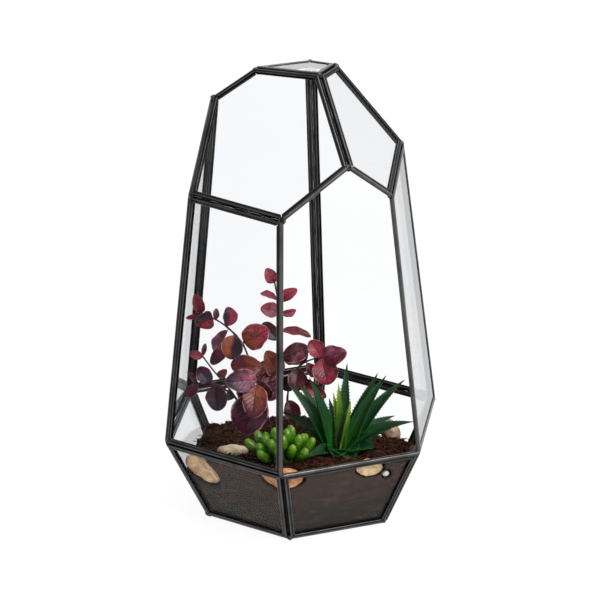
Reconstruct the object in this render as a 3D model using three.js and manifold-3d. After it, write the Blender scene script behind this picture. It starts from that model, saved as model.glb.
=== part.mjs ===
// A geometric glass terrarium: fifteen flat panes, each gripped by a ring of folded metal channel, round a
// bed of soil with pebbles, eucalyptus sprays, an aloe and a finger-leaved succulent. Millimetres, +Z up.
// The origin is the middle of the underside, and the open face looks towards -Y.

import * as THREE from 'three';
import { mergeVertices } from 'three/addons/utils/BufferGeometryUtils.js';
import Module from 'manifold-3d';

const wasm = await Module();
wasm.setup();

const degrees = THREE.MathUtils.degToRad;

// Casing, measured on the inner planes of the panes
const RIM_RADIUS = 108;
const BASE_RADIUS = 76.5;
const RIM_HEIGHT = 63;
const TOP_HEIGHT = 329;
// The top pane leans a little, as a hand-soldered one does, towards this plan angle
const TOP_LEAN = degrees(4.5);
const TOP_LEAN_TOWARDS = degrees(80);
// The upright panes lean inwards towards one point far above the casing
const APEX_HEIGHT = 955;
// Where the two roof planes cut the leaning corner edges
const SHOULDER_HEIGHTS = { left_back: 306, left: 255.5, front: 253, right: 260, right_back: 273.5 };
// From the front shoulder, along the top edge of the open face, to the foot of the ridge
const RIDGE_FOOT = 62;
// Plan angles of the six corners
const CORNERS = { front: -120, right: -60, right_back: 0, back: 60, left_back: 120, left: 180 };

// Metal channel and glass
const CHANNEL_WIDTH = 3.1;
const CHANNEL_DEPTH = 4;
const CHANNEL_WALL = 0.6;
const CHANNEL_EASE = 0.5;
const SLOT_OPENING = 2.6;
const GLASS_THICKNESS = 2;
const GAP = 0.3;
// Two rings meet at an edge, and each is drawn back by this much so that they stay a gap apart
const RING_SETBACK = 0.18;
const SOLDER_RADIUS = 2.9;
const SOLDER_LIFT = 1.1;

// Planting. Places are given across, deep and up, in a frame turned to face the front corner
const PLANTING_TURN = degrees(-22);
const SOIL_LEVEL = 50;
const SOIL_FALL = 0.16;
const SOIL_CORNER_FALL = 0.0035;
const SOIL_CEILING = 63;
// The soil falls away in the left and right corners: how far, and between which places across
const LEFT_DIP = { depth: 22, from: 76, to: 92 };
const RIGHT_DIP = { depth: 6, from: 66, to: 94 };
const SOIL_LUMP = 0.9;
const SOIL_CELLS = 14;
const SOIL_MARGIN = 12;
// The soil stays this far from what stands in it
const SOIL_GAP = 0.5;
const ROOT_DEPTH = 10;
const BLADE_THICKNESS = 0.8;
const GOLDEN_ANGLE = Math.PI * (3 - Math.sqrt(5));

const METAL = { color: 0x2b2c2d, roughness: 0.42, metalness: 0.85 };
const GLASS = { color: 0xeef3f6, roughness: 0.04, metalness: 0, transparent: true, opacity: 0.18 };
const EARTH = { color: 0x33211a, roughness: 0.95, metalness: 0 };
const BURGUNDY = { color: 0x7a2b3a, roughness: 0.7, metalness: 0 };
const DARK_GREEN = { color: 0x1d4a2a, roughness: 0.5, metalness: 0 };
const YOUNG_GREEN = { color: 0x8fae2c, roughness: 0.5, metalness: 0 };
const BRIGHT_GREEN = { color: 0x4c9a2e, roughness: 0.35, metalness: 0 };

// Solids

/** A solid from a list of points and a flat list of triangle corners. */
function solid(corners, triangles) {
  const vertProperties = new Float32Array(corners.flatMap((corner) => [corner.x, corner.y, corner.z]));
  const triVerts = new Uint32Array(triangles);
  return new wasm.Manifold(new wasm.Mesh({ numProp: 3, vertProperties, triVerts }));
}

/** A solid from a closed three.js geometry. */
function solidFrom(geometry) {
  geometry.deleteAttribute('normal');
  geometry.deleteAttribute('uv');
  const merged = mergeVertices(geometry);
  return new wasm.Manifold(new wasm.Mesh({
    numProp: 3,
    vertProperties: new Float32Array(merged.attributes.position.array),
    triVerts: new Uint32Array(merged.index.array),
  }));
}

const join = (solids) => solids.reduce((whole, next) => whole.add(next));

/** The largest body of a solid, so that a sliver that a cut leaves loose is dropped. */
function mainBody(cut) {
  const bodies = cut.decompose();
  return bodies.reduce((best, next) => (next.volume() > best.volume() ? next : best));
}

/** A named mesh whose own origin is at the given point. */
function mesh(name, body, look, origin = new THREE.Vector3()) {
  const { numProp, vertProperties, triVerts } = body.getMesh();
  const positions = new Float32Array((vertProperties.length / numProp) * 3);
  for (let i = 0; i < positions.length / 3; i += 1) {
    positions[3 * i] = vertProperties[numProp * i] - origin.x;
    positions[3 * i + 1] = vertProperties[numProp * i + 1] - origin.y;
    positions[3 * i + 2] = vertProperties[numProp * i + 2] - origin.z;
  }
  const geometry = new THREE.BufferGeometry();
  geometry.setAttribute('position', new THREE.BufferAttribute(positions, 3));
  geometry.setIndex([...triVerts]);
  geometry.computeVertexNormals();
  const piece = new THREE.Mesh(geometry, new THREE.MeshStandardMaterial(look));
  piece.name = name;
  piece.position.copy(origin);
  return piece;
}

// Corners of the casing

/** The point where three planes meet. */
function meet(a, b, c) {
  const bc = b.normal.clone().cross(c.normal);
  const ca = c.normal.clone().cross(a.normal);
  const ab = a.normal.clone().cross(b.normal);
  const share = a.normal.dot(bc);
  const sum = bc.multiplyScalar(-a.constant);
  sum.addScaledVector(ca, -b.constant);
  sum.addScaledVector(ab, -c.constant);
  return sum.divideScalar(share);
}

const planeThrough = (...corners) => new THREE.Plane().setFromCoplanarPoints(...corners);

/** Every corner of the casing by its name: base, rim, shoulders, foot of the ridge and top. */
function casingCorners() {
  const named = {};
  const apex = new THREE.Vector3(0, 0, CHANNEL_DEPTH + APEX_HEIGHT);
  for (const [name, angle] of Object.entries(CORNERS)) {
    const outward = new THREE.Vector3(Math.cos(degrees(angle)), Math.sin(degrees(angle)), 0);
    named[`base_${name}`] = outward.clone().multiplyScalar(BASE_RADIUS).setZ(CHANNEL_DEPTH);
    named[`rim_${name}`] = outward.clone().multiplyScalar(RIM_RADIUS).setZ(CHANNEL_DEPTH + RIM_HEIGHT);
  }
  for (const [name, height] of Object.entries(SHOULDER_HEIGHTS)) {
    const rise = (height - RIM_HEIGHT) / (APEX_HEIGHT - RIM_HEIGHT);
    named[`shoulder_${name}`] = named[`rim_${name}`].clone().lerp(apex, rise);
  }
  const roofLeft = planeThrough(named.shoulder_left_back, named.shoulder_left, named.shoulder_front);
  const openFace = planeThrough(named.rim_front, named.rim_right, apex);
  const slope = roofLeft.normal.clone().cross(openFace.normal).normalize();
  slope.multiplyScalar(Math.sign(slope.x) * RIDGE_FOOT);
  named.ridge_foot = named.shoulder_front.clone().add(slope);
  const roofRight = planeThrough(named.ridge_foot, named.shoulder_right, named.shoulder_right_back);
  const topNormal = new THREE.Vector3(
    Math.sin(TOP_LEAN) * Math.cos(TOP_LEAN_TOWARDS),
    Math.sin(TOP_LEAN) * Math.sin(TOP_LEAN_TOWARDS),
    Math.cos(TOP_LEAN),
  );
  const top = new THREE.Plane(topNormal, -topNormal.z * (CHANNEL_DEPTH + TOP_HEIGHT));
  const backLeft = planeThrough(named.rim_back, named.rim_left_back, apex);
  const backRight = planeThrough(named.rim_right_back, named.rim_back, apex);
  named.top_front = meet(roofLeft, roofRight, top);
  named.top_left = meet(roofLeft, backLeft, top);
  named.top_right = meet(roofRight, backRight, top);
  named.top_back = meet(backLeft, backRight, top);
  return named;
}

const points = casingCorners();

// Panes

const PANES = {
  right: ['rim_right', 'rim_right_back', 'shoulder_right_back', 'shoulder_right'],
  back_right: ['rim_right_back', 'rim_back', 'top_back', 'top_right', 'shoulder_right_back'],
  back_left: ['rim_back', 'rim_left_back', 'shoulder_left_back', 'top_left', 'top_back'],
  left: ['rim_left_back', 'rim_left', 'shoulder_left', 'shoulder_left_back'],
  front_left: ['rim_left', 'rim_front', 'shoulder_front', 'shoulder_left'],
  roof_left: ['shoulder_left_back', 'shoulder_left', 'shoulder_front', 'ridge_foot', 'top_front', 'top_left'],
  roof_right: ['ridge_foot', 'shoulder_right', 'shoulder_right_back', 'top_right', 'top_front'],
  top: ['top_left', 'top_front', 'top_right', 'top_back'],
  base: Object.keys(CORNERS).map((corner) => `base_${corner}`),
};

// The six lower panes stand between the base and the rim
const LOWER_PANES = {
  lower_front_right: ['front', 'right'],
  lower_right: ['right', 'right_back'],
  lower_back_right: ['right_back', 'back'],
  lower_back_left: ['back', 'left_back'],
  lower_left: ['left_back', 'left'],
  lower_front_left: ['left', 'front'],
};
for (const [name, [first, second]] of Object.entries(LOWER_PANES)) {
  PANES[name] = [`rim_${first}`, `rim_${second}`, `base_${second}`, `base_${first}`];
}

/** The corners of a pane's inner plane in its own flat axes, with the outward normal. */
function paneAxes(name) {
  const corners = PANES[name].map((corner) => points[corner]);
  const middle = corners.reduce((sum, corner) => sum.add(corner), new THREE.Vector3());
  middle.divideScalar(corners.length);
  const normal = planeThrough(...corners.slice(0, 3)).normal.clone();
  if (normal.dot(middle.clone().sub(new THREE.Vector3(0, 0, TOP_HEIGHT / 2))) < 0) {
    normal.negate();
  }
  const right = corners[1].clone().sub(corners[0]).normalize();
  const up = normal.clone().cross(right);
  const flat = corners.map((corner) => {
    const arm = corner.clone().sub(middle);
    return new THREE.Vector2(arm.dot(right), arm.dot(up));
  });
  if (THREE.ShapeUtils.isClockWise(flat)) {
    flat.reverse();
  }
  return { middle, normal, right, up, flat };
}

/** A convex outline drawn in by the same distance along every side. */
function drawnIn(outline, inset) {
  const count = outline.length;
  return outline.map((corner, i) => {
    const before = corner.clone().sub(outline[(i + count - 1) % count]).normalize();
    const after = outline[(i + 1) % count].clone().sub(corner).normalize();
    const inward = new THREE.Vector2(-before.y - after.y, before.x + after.x);
    return corner.clone().addScaledVector(inward, inset / (1 + before.dot(after)));
  });
}

/** A closed loft through outlines of equal count, listed from the inside out along the normal. */
function loft(rings) {
  const count = rings[0].length;
  const triangles = [];
  for (let level = 0; level < rings.length - 1; level += 1) {
    for (let i = 0; i < count; i += 1) {
      const a = level * count + i;
      const b = level * count + ((i + 1) % count);
      triangles.push(a, b, b + count, a, b + count, a + count);
    }
  }
  const last = (rings.length - 1) * count;
  for (let i = 1; i < count - 1; i += 1) {
    triangles.push(0, i + 1, i, last, last + i, last + i + 1);
  }
  return solid(rings.flat(), triangles);
}

/** A slab over a pane: each layer is the pane's outline drawn in by an inset, at a height outwards. */
function slab(name, layers) {
  const { middle, normal, right, up, flat } = paneAxes(name);
  return loft(layers.map(([inset, height]) => drawnIn(flat, inset).map((corner) => (
    middle.clone()
      .addScaledVector(right, corner.x)
      .addScaledVector(up, corner.y)
      .addScaledVector(normal, height)
  ))));
}

const slotFloor = RING_SETBACK + CHANNEL_WALL;
const slotLow = (CHANNEL_DEPTH - SLOT_OPENING) / 2;
const glassLow = (CHANNEL_DEPTH - GLASS_THICKNESS) / 2;

const glassPane = (name) => slab(name, [
  [slotFloor + GAP, glassLow],
  [slotFloor + GAP, glassLow + GLASS_THICKNESS],
]);

/** The room that a ring takes up, with a gap round it, and the inside of the casing behind it. */
const ringRoom = (name) => slab(name, [
  [RING_SETBACK - GAP, -2 * SOLDER_RADIUS],
  [RING_SETBACK - GAP, CHANNEL_DEPTH + GAP],
]);

/** A drop of solder that fills the groove round one corner of the casing. */
function solderDrop(cornerName) {
  const outward = new THREE.Vector3();
  for (const [name, corners] of Object.entries(PANES)) {
    if (corners.includes(cornerName)) {
      outward.add(paneAxes(name).normal);
    }
  }
  const centre = points[cornerName].clone().addScaledVector(outward.normalize(), SOLDER_LIFT);
  const ball = new THREE.IcosahedronGeometry(SOLDER_RADIUS, 0);
  ball.translate(centre.x, centre.y, centre.z);
  return solidFrom(ball);
}

// Which ring carries the solder of which corners
const SOLDERED = {
  base: PANES.base,
  lower_front_right: ['rim_right'],
  lower_right: ['rim_right_back'],
  lower_back_right: ['rim_back'],
  lower_back_left: ['rim_left_back'],
  lower_left: ['rim_left'],
  lower_front_left: ['rim_front'],
  roof_left: ['shoulder_left_back', 'shoulder_left', 'shoulder_front', 'ridge_foot'],
  roof_right: ['shoulder_right', 'shoulder_right_back'],
  top: PANES.top,
};

/** The ring of folded channel round one pane, with its share of the solder. */
function channelRing(name) {
  let ring = slab(name, [
    [RING_SETBACK + CHANNEL_EASE, 0],
    [RING_SETBACK, CHANNEL_EASE],
    [RING_SETBACK, CHANNEL_DEPTH - CHANNEL_EASE],
    [RING_SETBACK + CHANNEL_EASE, CHANNEL_DEPTH],
  ]);
  const insideOwn = slab(name, [[0, -2 * SOLDER_RADIUS], [0, 0]]);
  for (const corner of SOLDERED[name] ?? []) {
    let drop = solderDrop(corner).subtract(insideOwn);
    for (const [other, corners] of Object.entries(PANES)) {
      if (other !== name && corners.includes(corner)) {
        drop = drop.subtract(ringRoom(other));
      }
    }
    ring = ring.add(drop);
  }
  const window = slab(name, [[CHANNEL_WIDTH, -2 * CHANNEL_DEPTH], [CHANNEL_WIDTH, 3 * CHANNEL_DEPTH]]);
  const slot = slab(name, [[slotFloor, slotLow], [slotFloor, slotLow + SLOT_OPENING]]);
  return mainBody(ring.subtract(window).subtract(slot));
}

// Planting frame

const acrossAxis = new THREE.Vector3(Math.cos(PLANTING_TURN), Math.sin(PLANTING_TURN), 0);
const deepAxis = new THREE.Vector3(-Math.sin(PLANTING_TURN), Math.cos(PLANTING_TURN), 0);
const upAxis = new THREE.Vector3(0, 0, 1);

const at = (across, deep, up) => new THREE.Vector3()
  .addScaledVector(acrossAxis, across)
  .addScaledVector(deepAxis, deep)
  .addScaledVector(upAxis, up);

/** A geometry made round the vertical axis, moved to stand at a plant's root. */
function standing(geometry, [across, deep]) {
  const foot = at(across, deep, 0);
  geometry.translate(foot.x, foot.y, 0);
  return solidFrom(geometry);
}

/** An upright round barrel or cone from one height to another. */
function upright(lowRadius, highRadius, low, high, sides) {
  const barrel = new THREE.CylinderGeometry(highRadius, lowRadius, high - low, sides);
  barrel.rotateX(Math.PI / 2);
  barrel.translate(0, 0, (high + low) / 2);
  return barrel;
}

// Soil

/** How far the soil falls away at a distance towards a corner. */
const dip = (distance, { depth, from, to }) => depth * THREE.MathUtils.smoothstep(distance, from, to);

/** Height of the soil: banked up at the front, lower at the back right and in two corners, with lumps. */
function soilHeight(across, deep) {
  const slope = SOIL_FALL * deep + SOIL_CORNER_FALL * Math.max(0, across) * Math.max(0, deep);
  const fall = slope + dip(-across, LEFT_DIP) + dip(across, RIGHT_DIP);
  const broadLumps = Math.sin(across / 7) * Math.sin(deep / 8 + 1);
  const fineLumps = Math.sin((across - deep) / 5) / 2;
  return Math.min(SOIL_CEILING, SOIL_LEVEL - fall + SOIL_LUMP * (broadLumps + fineLumps));
}

/** Everything below the surface of the soil, over a square wider than the casing. */
function groundBlock() {
  const half = RIM_RADIUS + SOIL_MARGIN;
  const side = SOIL_CELLS + 1;
  const grid = [];
  for (const layer of ['floor', 'surface']) {
    for (let row = 0; row < side; row += 1) {
      for (let column = 0; column < side; column += 1) {
        const spot = new THREE.Vector3(
          -half + (2 * half * column) / SOIL_CELLS,
          -half + (2 * half * row) / SOIL_CELLS,
          0,
        );
        const height = soilHeight(spot.dot(acrossAxis), spot.dot(deepAxis));
        grid.push(spot.setZ(layer === 'floor' ? 0 : height));
      }
    }
  }
  const triangles = [];
  const top = side * side;
  const quad = (a, b, c, d) => triangles.push(a, b, c, a, c, d);
  for (let row = 0; row < SOIL_CELLS; row += 1) {
    for (let column = 0; column < SOIL_CELLS; column += 1) {
      const a = row * side + column;
      quad(top + a, top + a + 1, top + a + side + 1, top + a + side);
      quad(a, a + side, a + side + 1, a + 1);
    }
  }
  const far = SOIL_CELLS * side;
  for (let i = 0; i < SOIL_CELLS; i += 1) {
    quad(i, i + 1, top + i + 1, top + i);
    quad(far + i + 1, far + i, top + far + i, top + far + i + 1);
    const left = i * side;
    const right = left + SOIL_CELLS;
    quad(left + side, left, top + left, top + left + side);
    quad(right, right + side, top + right + side, top + right);
  }
  return solid(grid, triangles);
}

/** The room inside the lower panes: a frustum clear of the rings, reaching through them to each pane. */
function soilRoom() {
  const apothem = Math.cos(Math.PI / 6);
  const lean = Math.atan(((RIM_RADIUS - BASE_RADIUS) * apothem) / RIM_HEIGHT);
  const outline = (height) => {
    const radius = BASE_RADIUS + ((RIM_RADIUS - BASE_RADIUS) * height) / RIM_HEIGHT;
    const clear = radius - GAP / Math.cos(lean) / apothem;
    return Object.values(CORNERS).map((angle) => new THREE.Vector3(
      Math.cos(degrees(angle)) * clear,
      Math.sin(degrees(angle)) * clear,
      CHANNEL_DEPTH + height,
    ));
  };
  let room = loft([outline(GAP), outline(RIM_HEIGHT)]);
  for (const name of [...Object.keys(LOWER_PANES), 'base']) {
    const inset = CHANNEL_WIDTH + GAP;
    room = room.add(slab(name, [[inset, -CHANNEL_DEPTH / 2], [inset, glassLow - GAP]]));
  }
  return room;
}

// Pebbles

const stoneLook = (color) => ({ color, roughness: 0.6, metalness: 0 });

// A pebble's size is its three half lengths. One that faces a pane stands on edge behind it, spun in its
// plane, and one that presses on panes is worn flat there, just clear of the channel. A tilt lifts one end
const PEBBLES = {
  beige: {
    spot: [-76, -46, 47],
    size: [17, 12.5, 6.5],
    facing: 'lower_front_left',
    spin: -28,
    presses: ['lower_front_left'],
    look: stoneLook(0xc9b08a),
  },
  pale: {
    spot: [-52, -37, 57],
    size: [13.5, 7.5, 5.5],
    spin: -12,
    presses: [],
    look: stoneLook(0xcdbfa6),
  },
  tan: {
    spot: [-17, -96, 58],
    size: [20, 10.5, 9],
    spin: 0,
    presses: ['lower_front_left', 'lower_front_right'],
    look: stoneLook(0xbd7f4c),
  },
  cream: {
    spot: [50, -74, 57],
    size: [13, 8, 5.5],
    facing: 'lower_front_right',
    spin: -24,
    presses: ['lower_front_right'],
    look: stoneLook(0xcdb690),
  },
  white: {
    spot: [61.5, -62, 50],
    size: [3.5, 3, 3],
    facing: 'lower_front_right',
    spin: 0,
    presses: ['lower_front_right'],
    look: stoneLook(0xe4e1da),
  },
  brown: {
    spot: [67, 22, 49],
    size: [13, 8.5, 7.5],
    spin: 0,
    tilt: 48,
    presses: [],
    look: stoneLook(0x8d6a50),
  },
};

const PEBBLE_GAP = 0.5;
const PRESSED_GAP = 0.35;
const PEBBLE_WEAR = 0.07;
// How far the middle of a pebble that faces a pane lies behind it
const PRESSED_DEPTH = 2;

/** The space behind a pane, up to a plane that lies a clearance in from it. */
const behind = (name, clearance) => slab(name, [[-RIM_HEIGHT, -RIM_RADIUS], [-RIM_HEIGHT, -clearance]]);

/** A worn pebble, grown all round by a clearance, and kept behind the panes that it presses on. */
function pebble({ spot, size, facing, spin, tilt = 0, presses }, grow = 0) {
  const stone = new THREE.SphereGeometry(1, 11, 7);
  const place = stone.attributes.position;
  const thin = facing ? paneAxes(facing).normal : upAxis.clone();
  const long = facing ? upAxis.clone().cross(thin).normalize() : acrossAxis.clone();
  long.applyAxisAngle(thin, degrees(spin));
  const axes = new THREE.Matrix4().makeBasis(long, thin.clone().cross(long), thin);
  const lean = new THREE.Matrix4().makeRotationAxis(deepAxis, degrees(tilt));
  const centre = at(...spot);
  if (facing) {
    const { middle, normal } = paneAxes(facing);
    centre.addScaledVector(normal, -centre.clone().sub(middle).dot(normal) - PRESSED_DEPTH);
  }
  const half = new THREE.Vector3(...size).addScalar(grow);
  const vertex = new THREE.Vector3();
  for (let i = 0; i < place.count; i += 1) {
    vertex.fromBufferAttribute(place, i);
    const dents = Math.sin(2.3 * vertex.x + 1.1 * size[0]) * Math.cos(1.9 * vertex.y + vertex.z);
    vertex.multiplyScalar(1 + PEBBLE_WEAR * dents).multiply(half);
    vertex.applyMatrix4(axes).applyMatrix4(lean).add(centre);
    place.setXYZ(i, vertex.x, vertex.y, vertex.z);
  }
  return presses.reduce(
    (body, name) => body.intersect(behind(name, PRESSED_GAP - grow)),
    solidFrom(stone),
  );
}

// Leaves and stems

/** A thin blade through rows of points, equally thick along the normal, split alike on both faces. */
function blade(rows, normal, thickness) {
  const columns = rows[0].length;
  const flat = rows.flat();
  const shifted = (by) => flat.map((spot) => spot.clone().addScaledVector(normal, by));
  const faces = [...shifted(thickness / 2), ...shifted(-thickness / 2)];
  const under = flat.length;
  const triangles = [];
  for (let i = 0; i < rows.length - 1; i += 1) {
    for (let j = 0; j < columns - 1; j += 1) {
      const a = i * columns + j;
      const [b, c, d] = [a + 1, a + columns + 1, a + columns];
      triangles.push(a, b, c, a, c, d);
      triangles.push(under + a, under + c, under + b, under + a, under + d, under + c);
    }
  }
  const firstRow = rows[0].map((_, j) => j);
  const lastRow = firstRow.map((j) => (rows.length - 1) * columns + j);
  const between = rows.slice(1, -1).map((_, i) => (i + 1) * columns);
  const edge = [
    ...firstRow,
    ...between.map((start) => start + columns - 1),
    ...lastRow.reverse(),
    ...between.reverse(),
  ];
  edge.forEach((a, k) => {
    const b = edge[(k + 1) % edge.length];
    triangles.push(a, under + a, under + b, a, under + b, b);
  });
  return solid(faces, triangles);
}

// Where a round leaf's cross rows lie along it, and its points across
const LEAF_STATIONS = [0, 0.14, 0.34, 0.6, 0.84, 1];
const LEAF_COLUMNS = [-1, 0, 1];
const LEAF_STALK = 0.07;
const LEAF_ROUNDNESS = 0.5;
const LEAF_CUP = 0.12;
const LEAF_WAVE = 0.04;
const LEAF_BEND = 0.12;
// The upper faces of the leaves look forwards and a little up
const LEAF_FACING = at(0, -0.94, 0.35);

/** A round eucalyptus leaf from its root on the stem to its tip, cupped, bent back and waved at the edge. */
function roundLeaf(root, tip, width, roll, grow) {
  const along = tip.clone().sub(root);
  const length = along.length();
  along.normalize();
  const side = along.clone().cross(LEAF_FACING).normalize();
  side.applyAxisAngle(along, degrees(roll));
  const normal = side.clone().cross(along);
  const rows = LEAF_STATIONS.map((station) => {
    const past = (station - LEAF_STALK) / (1 - LEAF_STALK);
    const fullness = Math.abs(Math.sin(Math.PI * Math.max(0, past)));
    const half = (width / 2) * Math.max(LEAF_STALK, fullness ** LEAF_ROUNDNESS) + grow;
    const bend = LEAF_BEND * length * (1 - (2 * station - 1) ** 2);
    const overrun = Math.sign(station - 0.5) * grow * (station % 1 === 0 ? 1 : 0);
    return LEAF_COLUMNS.map((column) => {
      const cup = width * column * column * (LEAF_CUP + LEAF_WAVE * Math.sin(9 * station + column));
      return root.clone()
        .addScaledVector(along, station * length + overrun)
        .addScaledVector(side, column * half)
        .addScaledVector(normal, fullness * cup + bend);
    });
  });
  return blade(rows, normal, BLADE_THICKNESS + 2 * grow);
}

const STEM_RADIUS = 1.1;
const STEM_SIDES = 5;
// A grown five-sided stem is wider at its corners than across its flats
const STEM_GROWTH = 1.25;

/** A round stalk along a smooth curve. */
function stalk(curve, radius) {
  const circle = new THREE.EllipseCurve(0, 0, radius, radius);
  const section = new THREE.Shape(circle.getPoints(STEM_SIDES).slice(1));
  const steps = 2 * curve.points.length;
  return solidFrom(new THREE.ExtrudeGeometry(section, { steps, extrudePath: curve, bevelEnabled: false }));
}

// Each stem is a smooth curve through its points, from its root in the soil, and a twig starts on its stem.
// Each leaf lists where it grows, as the number of its stem and how far along it, then its tip's place, its
// width and its roll
const SPRAYS = {
  tall: {
    stems: [[[-19, -8, 42], [-18, -5, 70], [-16, -2, 101], [-16, 0, 132], [-16, 0, 158], [-19, -2, 180]]],
    leaves: [
      [0, 0.99, -25, -4, 192, 10, 0], [0, 0.86, -30, 4, 169, 7, 40], [0, 0.86, -2, -4, 175, 9, 0],
      [0, 0.79, -30, -8, 161, 12, 0], [0, 0.77, -3, 4, 155, 7, 30], [0, 0.66, 8, -6, 137, 8, -35],
      [0, 0.6, -29, 6, 144, 12, 0], [0, 0.5, 6, 6, 124, 15, 0], [0, 0.42, -26, -8, 127, 16, 0],
      [0, 0.4, -30, -12, 100, 14, 20], [0, 0.45, -36, -2, 107, 16, 0], [0, 0.36, -32, -10, 92, 15, 0],
    ],
  },
  upper_left: {
    stems: [
      [[-28, -10, 43], [-31, -14, 74], [-36, -18, 107], [-43, -20, 136], [-53, -20, 149], [-63, -20, 157],
        [-74, -22, 163]],
    ],
    leaves: [
      [0, 0.52, -24, -25, 151, 20, 0], [0, 0.62, -53, -28, 128, 17, 0], [0, 0.68, -66, -15, 130, 9, 30],
      [0, 0.6, -68, -14, 119, 10, 0], [0, 0.7, -54, -16, 166, 12, 20], [0, 0.84, -63, -19, 166, 5, 0],
      [0, 0.86, -79, -28, 158, 14, 0], [0, 0.99, -79, -23, 179, 9, 0], [0, 0.97, -86, -18, 158, 4, 0],
      [0, 0.42, -26, -26, 118, 12, 30],
    ],
  },
  left: {
    stems: [
      [[-37, -18, 45], [-40, -22, 72], [-48, -24, 92], [-56, -24, 105], [-66, -20, 116], [-75, -17, 128]],
      [[-52, -24, 98], [-65, -22, 106], [-78, -20, 105]],
    ],
    leaves: [
      [1, 0.6, -78, -18, 118, 12, 0], [1, 0.5, -63, -32, 88, 17, 0], [0, 0.97, -84, -18, 130, 7, 0],
      [0, 0.98, -72, -14, 136, 4, 0], [1, 0.97, -88, -22, 97, 9, 0], [1, 0.98, -86, -16, 114, 4, 0],
      [0, 0.72, -56, -28, 120, 7, 0], [0, 0.45, -58, -14, 92, 10, 30],
    ],
  },
  front: {
    stems: [[[-22, -26, 46], [-24, -27, 73], [-29, -30, 96], [-33, -34, 112], [-27, -33, 124]]],
    leaves: [
      [0, 0.8, -57, -46, 117, 18, 0], [0, 0.99, -53, -28, 124, 16, 0], [0, 0.74, -37, -50, 89, 20, 0],
      [0, 0.68, -44, -42, 73, 28, 0], [0, 0.8, -26, -22, 92, 13, 0], [0, 0.66, -49, -28, 100, 9, 0],
      [0, 0.7, -47, -34, 97, 13, 0],
    ],
  },
  right: {
    stems: [[[-10, 6, 40], [-11, 7, 70], [-9, 8, 92], [-1, 8, 108], [9, 4, 115], [17, 0, 118]]],
    leaves: [
      [0, 0.99, 7, 2, 131, 13, 0], [0, 0.99, 35, -6, 124, 16, 0], [0, 0.97, 21, -9, 99, 20, 0],
      [0, 0.48, 19, 0, 85, 11, 0], [0, 0.7, 12, 12, 98, 9, 0], [0, 0.58, -4, -2, 91, 15, 0],
      [0, 0.3, -4, 4, 64, 13, 0], [0, 0.66, -12, 14, 112, 11, 20],
      [0, 0.62, 0, 16, 117, 12, 0], [0, 0.5, -14, 10, 88, 12, 0],
    ],
  },
};

/** One spray: its stem, its twigs and all its leaves in one body. */
function spray({ stems, leaves }, grow = 0) {
  const curves = stems.map((stem) => {
    const route = stem.map((point) => at(...point));
    route[0].z -= grow;
    return new THREE.CatmullRomCurve3(route);
  });
  const parts = curves.map((curve) => stalk(curve, STEM_RADIUS + STEM_GROWTH * grow));
  for (const [stem, along, across, deep, up, width, roll] of leaves) {
    parts.push(roundLeaf(curves[stem].getPoint(along), at(across, deep, up), width, roll, grow));
  }
  return join(parts);
}

// Aloe

const ALOE_ROOT = [29, -33, 58];
const ALOE_CROWN_RADIUS = 8;
const ALOE_CROWN_RISE = 3;
const ALOE_LEAF_FOOT = 5.8;
// The well is a cone that the young leaves stand in
const ALOE_WELL_RADIUS = 3;
const ALOE_WELL_FLARE = 3.4;
const ALOE_WELL_DEPTH = 4;
const ALOE_WELL_RISE = 58;
const ALOE_BUD_RADIUS = 2.6;
const ALOE_STATIONS = 10;
const ALOE_TOOTH = 0.5;
// Shares of a leaf's width: how deep its keel is, and how far its edges and its middle are lifted
const ALOE_KEEL = 0.35;
const ALOE_LIP = 0.14;
const ALOE_HOLLOW = 0.05;
// Where along the leaf its bow is, and how far that also draws the leaf back over the crown
const ALOE_BOW_AT = 0.45;
const ALOE_BOW_BACK = 0.3;
// Tip's place, width at the base, how far the leaf bows upwards on its way, and its roll
const ALOE_LEAVES = [
  [-11, -32, 111, 14, 0.12, -40], [-2, -22, 107, 13, 0.08, -30], [6, -42, 118, 14, 0.1, -40],
  [35, -14, 118, 14, 0.04, 0], [58, -20, 112, 14, 0.1, 40], [64, -38, 117, 15, 0.12, 40],
  [78, -32, 111, 15, 0.14, 40], [71, -12, 74, 13, 0.2, 30], [84, -42, 81, 15, 0.2, 30],
  [0, -60, 64, 14, 0.2, -20], [-16, -16, 80, 13, 0.18, -30], [40, -64, 65, 15, 0.18, 0],
  [56, -54, 78, 14, 0.2, 20], [21, -14, 90, 12, 0.08, 0],
];
const YOUNG_LEAVES = [[25, -34, 104, 8, 0.02, 0], [28, -34, 110, 9, 0.02, 0], [35, -39, 97, 10, 0.02, 0]];

/** An aloe leaf's width as a share of its base's: full for the first third, then drawn out to a point. */
const aloeTaper = (s) => Math.min(1, (0.75 + 1.3 * s) * (1 - s) ** 1.35 + 0.05);

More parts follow.
